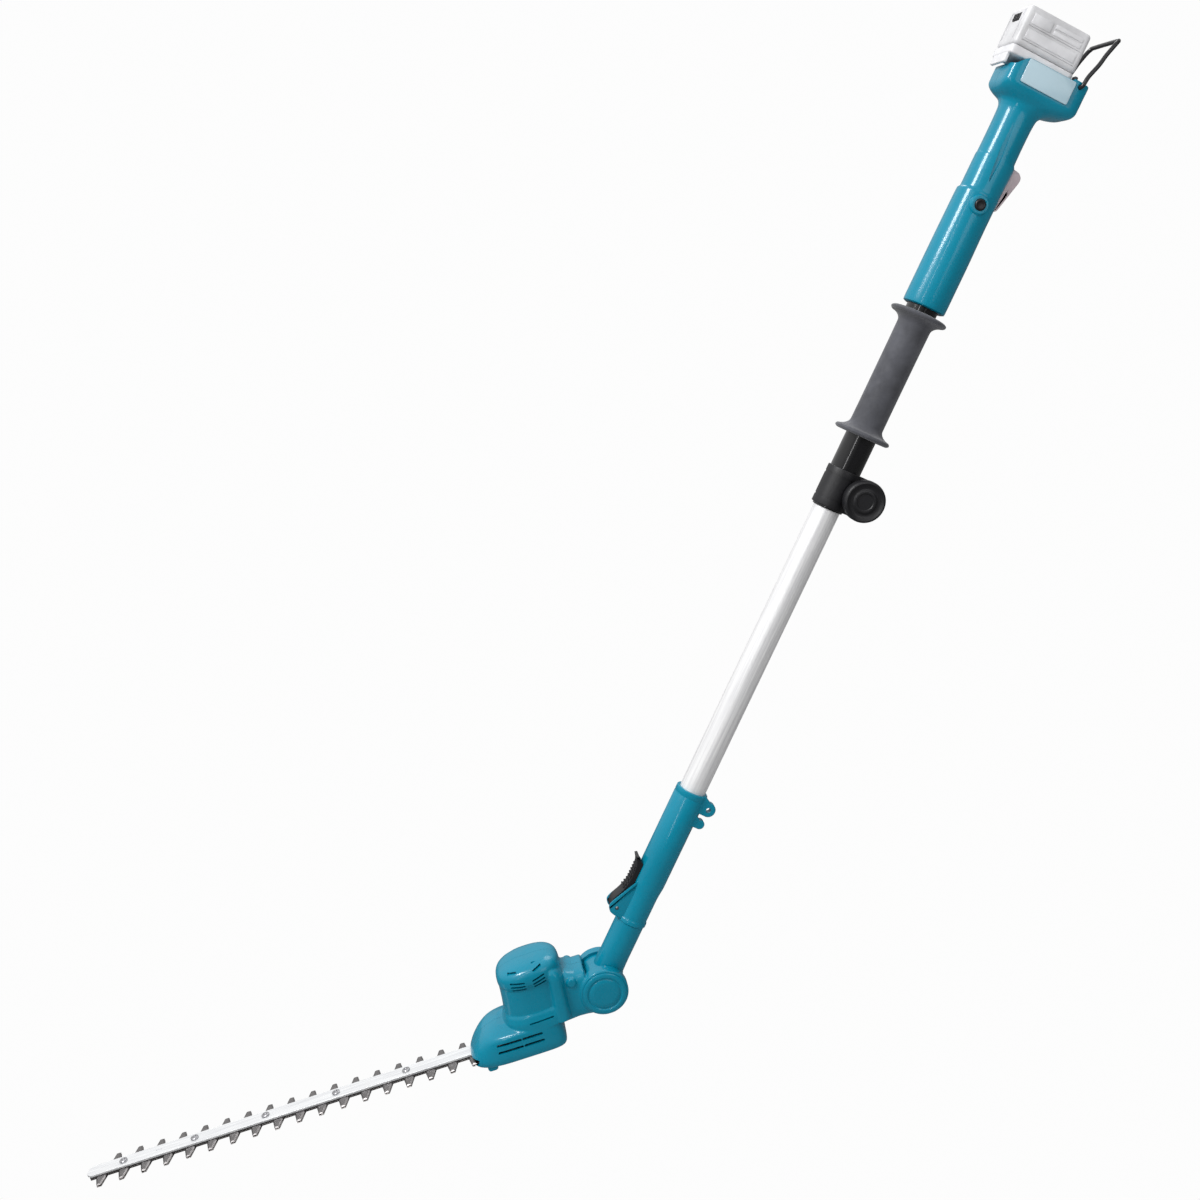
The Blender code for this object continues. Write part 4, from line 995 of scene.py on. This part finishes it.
def make_arm():
    """The knuckle between the head's ears, and the tube that plugs into the holder."""
    top = 81.7
    stations = [
        (8.0, 17.8, 16.9, 0.0, 0.0, 2.3),
        (22.0, 17.7, 16.9, 0.0, 0.0, 2.2),
        (32.0, 17.5, 17.0, 0.0, 0.0, 2.05),
        (38.0, 17.4, 17.4),
        (top - 0.8, 17.4, 17.4),
        (top, 16.8, 16.8),
        (top, 15.2, 15.2),
        (119.7, 15.2, 15.2),
        (120.7, 14.4, 14.4),
    ]
    mesh_data = bmesh.new()
    add_loft(mesh_data, stations)
    knuckle = [(24.0, -17.1), (25.0, -16.1), (25.0, 16.1), (24.0, 17.1)]
    add_plug(mesh_data, [(0.2, -17.1), *knuckle, (0.2, 17.1)], "Y", sides=128)
    arm = finish_node("hinge_arm", mesh_data, "extension_pole", teal_plastic, "teal_shell")
    cutter = bmesh.new()
    add_plug(cutter, [(20.7, -3.0), (20.7, 3.0)], "Y", sides=64)
    apply_cuts(arm, cutter)
    cut_form(arm, add_box, (-19.5, -2.9, -40), (19.5, 2.9, 2))
    cutter = bmesh.new()
    add_plug(cutter, [(6.3, -30), (6.3, 30)], "Y", sides=48)
    apply_cuts(arm, cutter)
    cutter = bmesh.new()
    add_plug(cutter, [(4.3, 12), (4.3, 140)], "Z", sides=32)
    apply_cuts(arm, cutter)
    soften(arm, 35)


def make_holder():
    """The collar over the inner tube's end, with its two bosses and the lever's cheeks."""
    bore = 15.5
    profile = [
        (bore, 82.0), (18.2, 82.0), (18.6, 82.5), (18.6, 86.0), (18.3, 87.0), (17.6, 88.0), (17.5, 89.0),
        (17.5, 104.0), (17.5, 118.0), (17.8, 124.0), (18.4, 130.0), (18.8, 134.0), (18.8, 180.0),
        (18.8, 246.5), (18.4, 247.2), (18.4, 248.2), (18.8, 248.8), (18.8, 254.2), (18.2, 255.0),
        (bore, 255.0),
    ]
    mesh_data = bmesh.new()
    add_lathe(mesh_data, profile, sides=128)
    cheek = rounded([(-11.0, 84.0), (-24.0, 85.0, 3.0), (-30.5, 87.5, 3.0), (-34.5, 94.0, 4.0),
                     (-33.0, 99.5, 4.0), (-15.0, 134.0, 6.0), (-11.0, 137.0)], 1.0, 4)
    for y in (-10.1, 10.1):
        add_prism(mesh_data, cheek, y - 1.1, y + 1.1, "Y", 0.5, 2)
    for z, reach, radius, rise in ((242.0, 23.6, 8.4, 9.0), (222.5, 21.6, 5.6, 5.0)):
        add_plug(mesh_data, [(0.2, -13.0), (radius - 1.0, -13.0), (radius, -12.0), (radius, -5.0),
                             (radius - 1.0, -4.0), (0.2, -4.0)], "Y", (reach, 0, z), 48)
        root = rounded([(reach - 12, z - radius * 0.9), (reach, z - radius, 1.0),
                        (reach + 1.0, z + rise - 2), (reach - 5, z + rise + 2.0),
                        (reach - 12, z + rise + 6)], 3.0, 4)
        add_prism(mesh_data, root, -12.8, -4.2, "Y", 0.8, 2)
    holder = finish_node("pole_holder", mesh_data, "extension_pole", teal_plastic, "teal_shell")
    cutter = bmesh.new()
    add_plug(cutter, [(bore, 77.0), (bore, 260.0)], "Z", sides=96)
    apply_cuts(holder, cutter)
    cutter = bmesh.new()
    add_plug(cutter, [(2.3, -13), (2.3, 13)], "Y", LEVER, 32)
    add_plug(cutter, [(3.0, -20), (3.0, 0)], "Y", (23.6, 0.0, 242.0), 32)
    for z in HOLDER_SCREWS:
        add_plug(cutter, [(1.9, 10), (1.9, 30)], "Y", (0, 0, z), 24)
    for z in (112.0, 160.0):
        add_box(cutter, (17.6, -0.35, z), (25.0, 0.35, z + 30))
    apply_cuts(holder, cutter)
    soften(holder, 35)


def make_lever():
    """The long release lever: two thin sides, a ribbed back and a hooked thumb end."""
    x, _, z = LEVER
    outline = rounded([
        (3.8, -4.0, 2.0), (-3.0, -6.0, 2.5), (-7.0, -4.0, 3.0), (-9.0, 3.0, 4.0), (-8.2, 9.0, 4.0),
        (-2.6, 20.5, 6.0), (0.6, 32.0, 6.0), (1.0, 46.0, 6.0), (0.6, 54.0, 4.0), (-0.6, 59.0, 3.0),
        (-4.4, 64.6, 0.8), (-1.4, 66.2, 0.8), (3.6, 61.0, 3.0), (8.6, 58.5, 2.0), (9.5, 56.0, 1.0),
        (9.5, 40.0, 2.0), (8.0, 30.0, 3.0), (5.0, 20.0, 4.0), (4.0, 8.0, 3.0)], 1.0, 5)
    mesh_data = bmesh.new()
    add_prism(mesh_data, [(u + x, v + z) for u, v in outline], -LEVER_HALF, LEVER_HALF, "Y", 0.7, 3)
    for rise in (24.0, 28.0, 32.0, 36.0, 40.0, 44.0, 48.0, 52.0):
        lean = max(0.0, 33.0 - rise) * 0.3
        add_box(mesh_data, (x - 0.6 - lean, -7.6, z + rise), (x + 2.0 - lean, 7.6, z + rise + 1.7), 0.4, 2)
    lever = finish_node("lock_lever", mesh_data, "lock_lever", black_matte, "black_plastic")
    cutter = bmesh.new()
    add_plug(cutter, [(19.4, z + 16), (19.4, z + 95)], "Z", sides=96)
    apply_cuts(lever, cutter)
    cut_form(lever, add_plug, [(2.3, -10), (2.3, 10)], "Y", (x, 0, z), 32)
    soften(lever, 35)
    mesh_data = bmesh.new()
    pin = [(0.2, -11.4), (1.4, -11.4), (2.0, -10.9), (2.0, 10.9), (1.4, 11.4), (0.2, 11.4)]
    add_plug(mesh_data, pin, "Y", LEVER, 32)
    finish_node("lever_pin", mesh_data, "extension_pole", steel, "steel")


# ---------------------------------------------------------------- rear handle, tray and controls

TRAY_FLOOR = 1102.7
TRAY_TOP = 1108.0
BUTTON = (-0.5, 0.0, 957.5)
TRIGGER = (18.5, 0.0, 965.0)
HOOK = (41.0, 0.0, 1103.0)
HANDLE_SCREWS = [(-3.0, 925.0, 21.0), (-1.0, 1040.0, 19.0)]


def handle_stations():
    """The handle's outside from its lower end to the battery tray's rim."""
    tray = (44.0, 28.0, 9.0, 0.0, 7.0)
    return [
        (842.0, 20.8, 20.6, 0.5, 0.0, 2.0),
        (843.0, 22.8, 22.3, 0.6, 0.0, 2.0),
        (846.0, 23.7, 23.2, 0.6, 0.0, 2.0),
        (870.0, 23.7, 23.2, 0.6, 0.0, 2.0),
        (900.0, 23.6, 23.2, 0.6, 0.0, 2.0),
        (940.0, 23.0, 22.8, 0.4, 0.0, 2.05),
        (966.0, 22.8, 22.5, 0.6, 0.0, 2.1),
        (970.0, 22.5, 22.2, 1.0, 0.0, 2.1),
        (972.4, 21.6, 21.4, 1.6, 0.0, 2.1),
        (985.0, 21.7, 21.2, 1.8, 0.0, 2.1),
        (1003.0, 22.0, 21.0, 2.2, 0.0, 2.1),
        (1008.0, 21.6, 20.8, 1.9, 0.0, 2.1),
        (1012.0, 20.6, 20.6, 1.5, 0.0, 2.1),
        (1040.0, 20.4, 20.2, 1.4, 0.0, 2.1),
        (1056.0, 21.0, 20.4, 1.6, 0.0, 2.1),
        (1062.0, 22.6, 21.2, 2.2, 0.0, 2.2),
        (1066.5, 27.0, 22.3, 3.8, 0.0, 2.6),
        (1070.0, 36.0, 24.4, 6.8, 0.0, 3.5),
        (1073.5, 41.5, 26.5, 8.6, 0.0, 4.8),
        (1078.0, 43.8, 27.9, 9.0, 0.0, 6.4),
        (1084.0, *tray),
        (1095.0, *tray),
        (1106.6, *tray),
        (TRAY_TOP, 43.2, 27.2, 9.0, 0.0, 6.6),
    ]


def make_handle_shells():
    """The hollow handle, cut into its near half with the button and its far half with the screws."""
    mesh_data = bmesh.new()
    add_loft(mesh_data, flowing(handle_stations(), 5), sides=192)
    near = finish_node("handle_shell_near", mesh_data, "rear_handle", teal_plastic, "teal_shell")
    join = bmesh.new()
    button_boss = [(0.2, -25.0), (8.6, -25.0), (9.8, -24.2), (10.5, -22.5), (10.5, -15.0), (0.2, -15.0)]
    add_plug(join, button_boss, "Y", BUTTON, 72)
    combine(near, join, "UNION", False)
    cutter = bmesh.new()
    add_loft(cutter, [
        (832.0, 17.6, 17.6), (900.3, 17.6, 17.6), (904.0, 20.4, 20.0, 0.6), (964.0, 20.0, 19.8, 0.6),
        (975.0, 19.0, 18.6, 1.6), (1001.0, 19.2, 18.2, 2.0), (1010.0, 17.8, 17.9, 1.4),
        (1056.0, 17.8, 17.6, 1.4), (1072.0, 26.0, 20.5, 4.5, 0.0, 2.6), (1077.0, 38.0, 23.6, 8.4, 0.0, 5.0),
        (1081.0, 41.4, 25.4, 9.0, 0.0, 7.0), (1092.0, 41.4, 25.4, 9.0, 0.0, 7.0)], sides=96)
    apply_cuts(near, cutter)
    cut_form(near, add_box, (-70, -24.8, TRAY_FLOOR), (33.0, 24.8, TRAY_TOP + 5))
    cutter = bmesh.new()
    notch = rounded([(33.0, 1105.6, 0.4), (-22.0, 1105.6, 5.0), (-31.0, 1095.4, 3.0), (-70.0, 1094.6, 1.0),
                     (-70.0, 1120.0, 1.0), (33.0, 1120.0, 1.0)], 1.0, 5)
    add_prism(cutter, notch, -45.0, 45.0, "Y")
    apply_cuts(near, cutter)
    cut_form(near, add_box, (12, -6.3, 958.5), (45, 6.3, 1012.0), 1.5, 3)
    far = copy_shell(near, "handle_shell_far", POLE, "rear_handle")
    keep_half(near, -1, 0.15)
    keep_half(far, 1, 0.15)
    cutter = bmesh.new()
    add_plug(cutter, [(6.4, -30), (6.4, -8)], "Y", BUTTON, 64)
    add_plug(cutter, [(1.9, -9.6), (1.9, 9.6)], "Y", TRIGGER, 24)
    add_plug(cutter, [(2.6, -32), (2.6, -22)], "Y", HOOK, 32)
    apply_cuts(near, cutter)
    cutter = bmesh.new()
    add_plug(cutter, [(2.6, 22), (2.6, 32)], "Y", HOOK, 32)
    for x, z, floor in HANDLE_SCREWS:
        add_plug(cutter, [(3.4, floor), (3.4, 32)], "Y", (x, 0, z), 32)
        add_plug(cutter, [(1.8, 10), (1.8, floor + 1)], "Y", (x, 0, z), 24)
    apply_cuts(far, cutter)
    add_handle_recesses(near)
    soften(near, 32)
    soften(far, 32)


def add_handle_recesses(near):
    """The long lens-shaped groove beside the trigger panel, cut into the near half."""
    lens = [(-6.6, 1049.0, 0.6), (-3.2, 1042.0, 8.0), (-0.6, 1020.0, 20.0), (0.8, 1000.0, 12.0),
            (-1.0, 982.0, 0.6), (-2.8, 986.0, 6.0), (-4.6, 1005.0, 16.0), (-5.6, 1030.0, 12.0)]
    cut_form(near, add_prism, rounded(lens, 3.0, 6), -30.0, -19.4, "Y")


def make_controls():
    """The trigger, which pivots on its pin, and the lock-off button in the near half."""
    x, _, z = TRIGGER
    outline = rounded([(-5.0, 3.0, 2.0), (-2.5, -4.0, 2.0), (4.0, -4.5, 2.0), (7.5, -2.5, 3.0),
                       (16.6, 34.0, 3.0), (16.0, 38.5, 2.0), (12.0, 42.0, 1.5), (-1.0, 44.0, 2.0),
                       (-6.0, 42.0, 2.0)], 1.0, 5)
    mesh_data = bmesh.new()
    add_prism(mesh_data, [(u + x, v + z) for u, v in outline], -5.8, 5.8, "Y", 1.6, 4)
    # The trigger's pale colour holds a painted reflection of the light along with its own grey.
    trigger = place_piece("switch_trigger_finish", mesh_data, POLE, "switch_trigger", trigger_grey_and_reflection,
                          "trigger", ["switch_trigger"])
    cut_form(trigger, add_plug, [(1.8, -10), (1.8, 10)], "Y", TRIGGER, 24)
    soften(trigger, 40)
    mesh_data = bmesh.new()
    profile = [(0.2, -25.9), (3.3, -25.9), (3.8, -26.2), (4.4, -26.5), (5.2, -26.2), (5.9, -25.4),
               (6.0, -24.6), (6.0, -14.0), (5.0, -13.0), (0.2, -13.0)]
    add_plug(mesh_data, profile, "Y", BUTTON, 64)
    finish_node("lock_off_button", mesh_data, "lock_off_button", black_matte, "black_plastic")


def make_tray_parts():
    """The plate on the tray's flank, coloured pale blue-grey as a painted reflection of the light on that
    flank, the hook's bumper and the bent wire hook.
    """
    mesh_data = bmesh.new()
    outline = rounded([(-21, 1081), (35, 1081), (35, 1105), (-21, 1105)], 2.2, 5)
    add_prism(mesh_data, outline, -29.6, -28.3, "Y", 0.5, 3)
    # The plate's pale colour is a painted reflection of the light, not a colour of its own.
    finish_node("housing_plate", mesh_data, "rear_handle", plate_painted_reflection, "pale_plate")
    mesh_data = bmesh.new()
    add_box(mesh_data, (34, -20, TRAY_TOP + GAP), (38, -12, TRAY_TOP + 5), 1.2, 4)
    finish_node("hook_bumper", mesh_data, "rear_handle", grip_rubber, "grip_rubber")
    width = 30.9
    side = [(0.0, 24.0, 0.0), (0.0, width - 2.5, 0.0), (0.4, width - 0.7, 0.8), (0.8, width, 3.0),
            (2.0, width, 12.0), (6.5, width, 26.0), (9.0, width, 38.0), (12.5, width, 50.0),
            (14.2, width - 1.5, 54.5), (14.6, width - 6.0, 56.0)]
    x, _, z = HOOK
    route = [(x + a, -b, z + c) for a, b, c in side] + [(x + a, b, z + c) for a, b, c in reversed(side)]
    mesh_data = bmesh.new()
    add_tube(mesh_data, smooth_route(route, 6), 2.25, 24)
    finish_node("hanging_hook", mesh_data, "hanging_hook", hook_coat, "hook_wire", angle=60)


# ---------------------------------------------------------------- battery

def make_battery():
    """The pack's case with raised panels in place of its printing, its foot and its release tab."""
    left = -43.0
    right = 31.0
    half = 24.4
    mesh_data = bmesh.new()
    case = rounded([(left, -half), (right, -half), (right, half), (left, half)], 6.0, 8)
    add_prism(mesh_data, case, 1112.3, 1153.0, "Z", 4.0, 6)
    body = finish_node("battery_case", mesh_data, "battery", battery_pale, "battery_shell")
    cutter = bmesh.new()
    room = rounded([(left + 2.5, 2.5 - half), (right - 2.5, 2.5 - half), (right - 2.5, half - 2.5),
                    (left + 2.5, half - 2.5)], 4.0, 6)
    add_prism(cutter, room, 1107.0, 1150.5)
    apply_cuts(body, cutter)
    cutter = bmesh.new()
    add_box(cutter, (left - 5, -8.3, 1137.7), (left + 9, 8.3, 1146.3))
    for low_z in (1118.0, 1133.0):
        add_box(cutter, (left + 6.5, -half - 2, low_z), (right - 5.0, 0.7 - half, low_z + 0.7), 0.2, 1)
    for low_y in (-18.0, 13.0):
        add_box(cutter, (left - 2, low_y, 1118.0), (left + 0.7, low_y + 5, 1148.0), 0.3, 2)
    apply_cuts(body, cutter)
    soften(body, 32)
    mesh_data = bmesh.new()
    panels = [
        (left + 8, left + 30, 1135.6, 1146.2),
        (left + 34, right - 8, 1135.6, 1140.0),
        (left + 34, right - 8, 1142.0, 1146.2),
        (left + 8, right - 8, 1120.6, 1130.4),
    ]
    for low_x, high_x, low_z, high_z in panels:
        add_box(mesh_data, (low_x, -half - 0.6, low_z), (high_x, 0.3 - half, high_z), 0.35, 3)
    place_piece("battery_panels", mesh_data, POLE, "battery", battery_panel, "battery_grey")
    mesh_data = bmesh.new()
    foot = rounded([(left, -half), (right, -half), (right, half), (left, half)], 6.0, 8)
    add_prism(mesh_data, foot, 1103.0, 1112.0, "Z", 1.6, 4)
    add_box(mesh_data, (left + 0.5, -18, 1094.0), (left + 4, 18, 1106.0), 0.8, 3)
    finish_node("battery_base", mesh_data, "battery", battery_panel, "battery_grey")
    mesh_data = bmesh.new()
    add_box(mesh_data, (left - 1.2, -8, 1138), (left + 5, 8, 1146), 1.2, 4)
    for rise in (1139.6, 1141.6, 1143.6):
        add_box(mesh_data, (left - 1.7, -6.4, rise), (left - 0.9, 6.4, rise + 0.9), 0.25, 2)
    finish_node("battery_release", mesh_data, "battery_release", black_matte, "black_plastic")


# ---------------------------------------------------------------- finishes on the kept CAD nodes

def painted_parts():
    """Gives each CAD node that stays visible its finish."""
    lead_rubber = rubber("lead_rubber", (0.03, 0.03, 0.034))
    board_green = matte_plastic("board_green", (0.03, 0.16, 0.09), 0.4, 500.0)
    can_metal = metal("can_metal", (0.34, 0.35, 0.38), 0.36, (1.0, 1.0, 0.05), 400.0)
    rotor_metal = metal("rotor_metal", (0.62, 0.4, 0.25), 0.32, (1.0, 1.0, 0.1), 500.0)
    gear_metal = metal("gear_metal", (0.46, 0.45, 0.43), 0.34, (1.0, 1.0, 1.0), 260.0)
    cell_wrap = matte_plastic("cell_wrap", (0.05, 0.25, 0.22), 0.35, 500.0)
    nodes_of = {
        steel: ["clamp_nut", "clamp_bolt", "trigger_pin", "lock_spring", "lock_bolt", "hinge_shaft",
                "upper_bearing"],
        gear_metal: ["index_plate", "crankshaft", "drive_gear"],
        can_metal: ["motor_can"],
        rotor_metal: ["motor_rotor"],
        black_matte: ["main_switch", "terminal_block"],
        board_green: ["controller_board"],
        lead_rubber: ["power_lead"],
        cell_wrap: ["battery_cell_1", "battery_cell_2", "battery_cell_3", "battery_cell_4"],
    }
    for made, names in nodes_of.items():
        for name in names:
            node = frame["nodes"][name]
            node.data.materials.clear()
            node.data.materials.append(made)


# ---------------------------------------------------------------- the whole tool

make_tubes()
make_grip()
make_clamp()
make_knob()
make_arm()
make_holder()
make_lever()
for number, z in enumerate(HOLDER_SCREWS, 1):
    make_screw(f"holder_screw_{number}", "extension_pole", 3.2, 19.1, 20.6, 15.6, (0.0, 0.0, z))
make_handle_shells()
make_controls()
make_tray_parts()
make_battery()
for number, (x, z, floor) in enumerate(HANDLE_SCREWS, 1):
    make_screw(f"handle_screw_{number}", "rear_handle", 3.0, floor + 0.3, floor + 2.0, floor - 3.6,
               (x, 0.0, z))
make_head_shells()
make_head_trim()
for number, (x, z) in enumerate(HEAD_SCREWS, 1):
    make_screw(f"head_screw_{number}", "cutter_head", 3.2, -30.9, -32.6, -22.0, (x, 0.0, z))
make_bar()
make_cutter("upper_cutter", UPPER_TOP, strip_metal)
make_cutter("lower_cutter", LOWER_TOP, tooth_metal)
painted_parts()


# ---------------------------------------------------------------- floor, light and camera

PAPER_WHITE = 0.98
FLOOR_REACH = 14.0
FLOOR_DROP = 0.55


def area_light(name, place, target, size, power):
    """A rectangular lamp that faces its target; power is in watts."""
    data = bpy.data.lights.new(name, "AREA")
    data.shape = "RECTANGLE"
    data.size = size[0]
    data.size_y = size[1]
    data.energy = power
    light = bpy.data.objects.new(name, data)
    bpy.context.scene.collection.objects.link(light)
    light.location = place
    light.rotation_euler = (Vector(target) - Vector(place)).to_track_quat("-Z", "Y").to_euler()


def make_stage():
    """A wide pale floor below the cutter bar. It looks evenly white, and stays dim in reflections."""
    low = cad_box[0]
    floor_mesh = bmesh.new()
    reach = FLOOR_REACH
    corners = [(-reach, -reach), (reach, -reach), (reach, reach), (-reach, reach)]
    height = low[2] - FLOOR_DROP
    floor_mesh.faces.new([floor_mesh.verts.new((x, y, height)) for x, y in corners])
    mesh = bpy.data.meshes.new("floor")
    floor_mesh.to_mesh(mesh)
    floor_mesh.free()
    floor = bpy.data.objects.new("floor", mesh)
    bpy.context.scene.collection.objects.link(floor)
    made, shader = new_material("floor_paper", (0.6, 0.6, 0.6), 0.9)
    bump(made, shader, object_noise(made, 30.0), 0.0004, 0.2)
    nodes = made.node_tree.nodes
    links = made.node_tree.links
    rays = nodes.new("ShaderNodeLightPath")
    glow = nodes.new("ShaderNodeEmission")
    glow.inputs["Color"].default_value = (1.0, 1.0, 1.0, 1.0)
    glow.inputs["Strength"].default_value = PAPER_WHITE
    shadow = nodes.new("ShaderNodeEmission")
    shadow.inputs["Color"].default_value = (1.0, 1.0, 1.0, 1.0)
    shadow.inputs["Strength"].default_value = 0.14
    dim = nodes.new("ShaderNodeMixShader")
    mix = nodes.new("ShaderNodeMixShader")
    links.new(rays.outputs["Is Glossy Ray"], dim.inputs["Fac"])
    links.new(shader.outputs["BSDF"], dim.inputs[1])
    links.new(shadow.outputs["Emission"], dim.inputs[2])
    links.new(rays.outputs["Is Camera Ray"], mix.inputs["Fac"])
    links.new(dim.outputs["Shader"], mix.inputs[1])
    links.new(glow.outputs["Emission"], mix.inputs[2])
    links.new(mix.outputs["Shader"], nodes["Material Output"].inputs["Surface"])
    mesh.materials.append(made)


def make_world():
    """A studio bright above and to the left, dim in front and below, and plain white to the camera."""
    world = bpy.data.worlds.new("studio")
    bpy.context.scene.world = world
    world.use_nodes = True
    nodes = world.node_tree.nodes
    links = world.node_tree.links
    place = nodes.new("ShaderNodeTexCoord")
    facing = nodes.new("ShaderNodeVectorMath")
    facing.operation = "DOT_PRODUCT"
    facing.inputs[1].default_value = (-0.42, 0.22, 0.88)
    spread = nodes.new("ShaderNodeMapRange")
    spread.inputs["From Min"].default_value = -0.1
    spread.inputs["From Max"].default_value = 0.85
    spread.inputs["To Min"].default_value = 0.12
    spread.inputs["To Max"].default_value = 0.9
    background = nodes["Background"]
    background.inputs["Color"].default_value = (1.0, 1.0, 1.0, 1.0)
    seen = nodes.new("ShaderNodeBackground")
    seen.inputs["Color"].default_value = (1.0, 1.0, 1.0, 1.0)
    seen.inputs["Strength"].default_value = PAPER_WHITE
    rays = nodes.new("ShaderNodeLightPath")
    mix = nodes.new("ShaderNodeMixShader")
    links.new(place.outputs["Generated"], facing.inputs[0])
    links.new(facing.outputs["Value"], spread.inputs["Value"])
    links.new(spread.outputs["Result"], background.inputs["Strength"])
    links.new(rays.outputs["Is Camera Ray"], mix.inputs["Fac"])
    links.new(background.outputs["Background"], mix.inputs[1])
    links.new(seen.outputs["Background"], mix.inputs[2])
    links.new(mix.outputs["Shader"], nodes["World Output"].inputs["Surface"])


def make_lights():
    """A key from the upper left, a thin strip for long highlights, a weak fill and a rim light."""
    area_light("key", (-2.1, -0.9, 2.0), (-0.1, 0.0, -0.1), (0.8, 0.8), 62.0)
    area_light("strip", (-1.3, -1.8, 0.5), (0.0, 0.0, 0.1), (0.10, 1.8), 5.0)
    area_light("fill", (0.9, -2.3, 0.9), (0.0, 0.0, 0.0), (1.4, 1.4), 10.0)
    area_light("rim", (0.4, 1.8, 2.0), (0.0, 0.0, 0.0), (1.4, 0.8), 14.0)


CAMERA_FROM_HINGE = Vector((-0.190, -1.468, 0.828))
CAMERA_FORWARD = Vector((0.1234, 0.9623, -0.2425))
CAMERA_LENS = 42.0


def make_camera():
    """Looks from the tool's near side, a little from above."""
    data = bpy.data.cameras.new("camera")
    data.lens = CAMERA_LENS
    data.sensor_width = 36.0
    camera = bpy.data.objects.new("camera", data)
    bpy.context.scene.collection.objects.link(camera)
    camera.location = hinge + CAMERA_FROM_HINGE
    camera.rotation_euler = CAMERA_FORWARD.to_track_quat("-Z", "Y").to_euler()
    bpy.context.scene.camera = camera


make_stage()
make_world()
make_lights()
make_camera()
bpy.context.scene.view_settings.view_transform = "Standard"
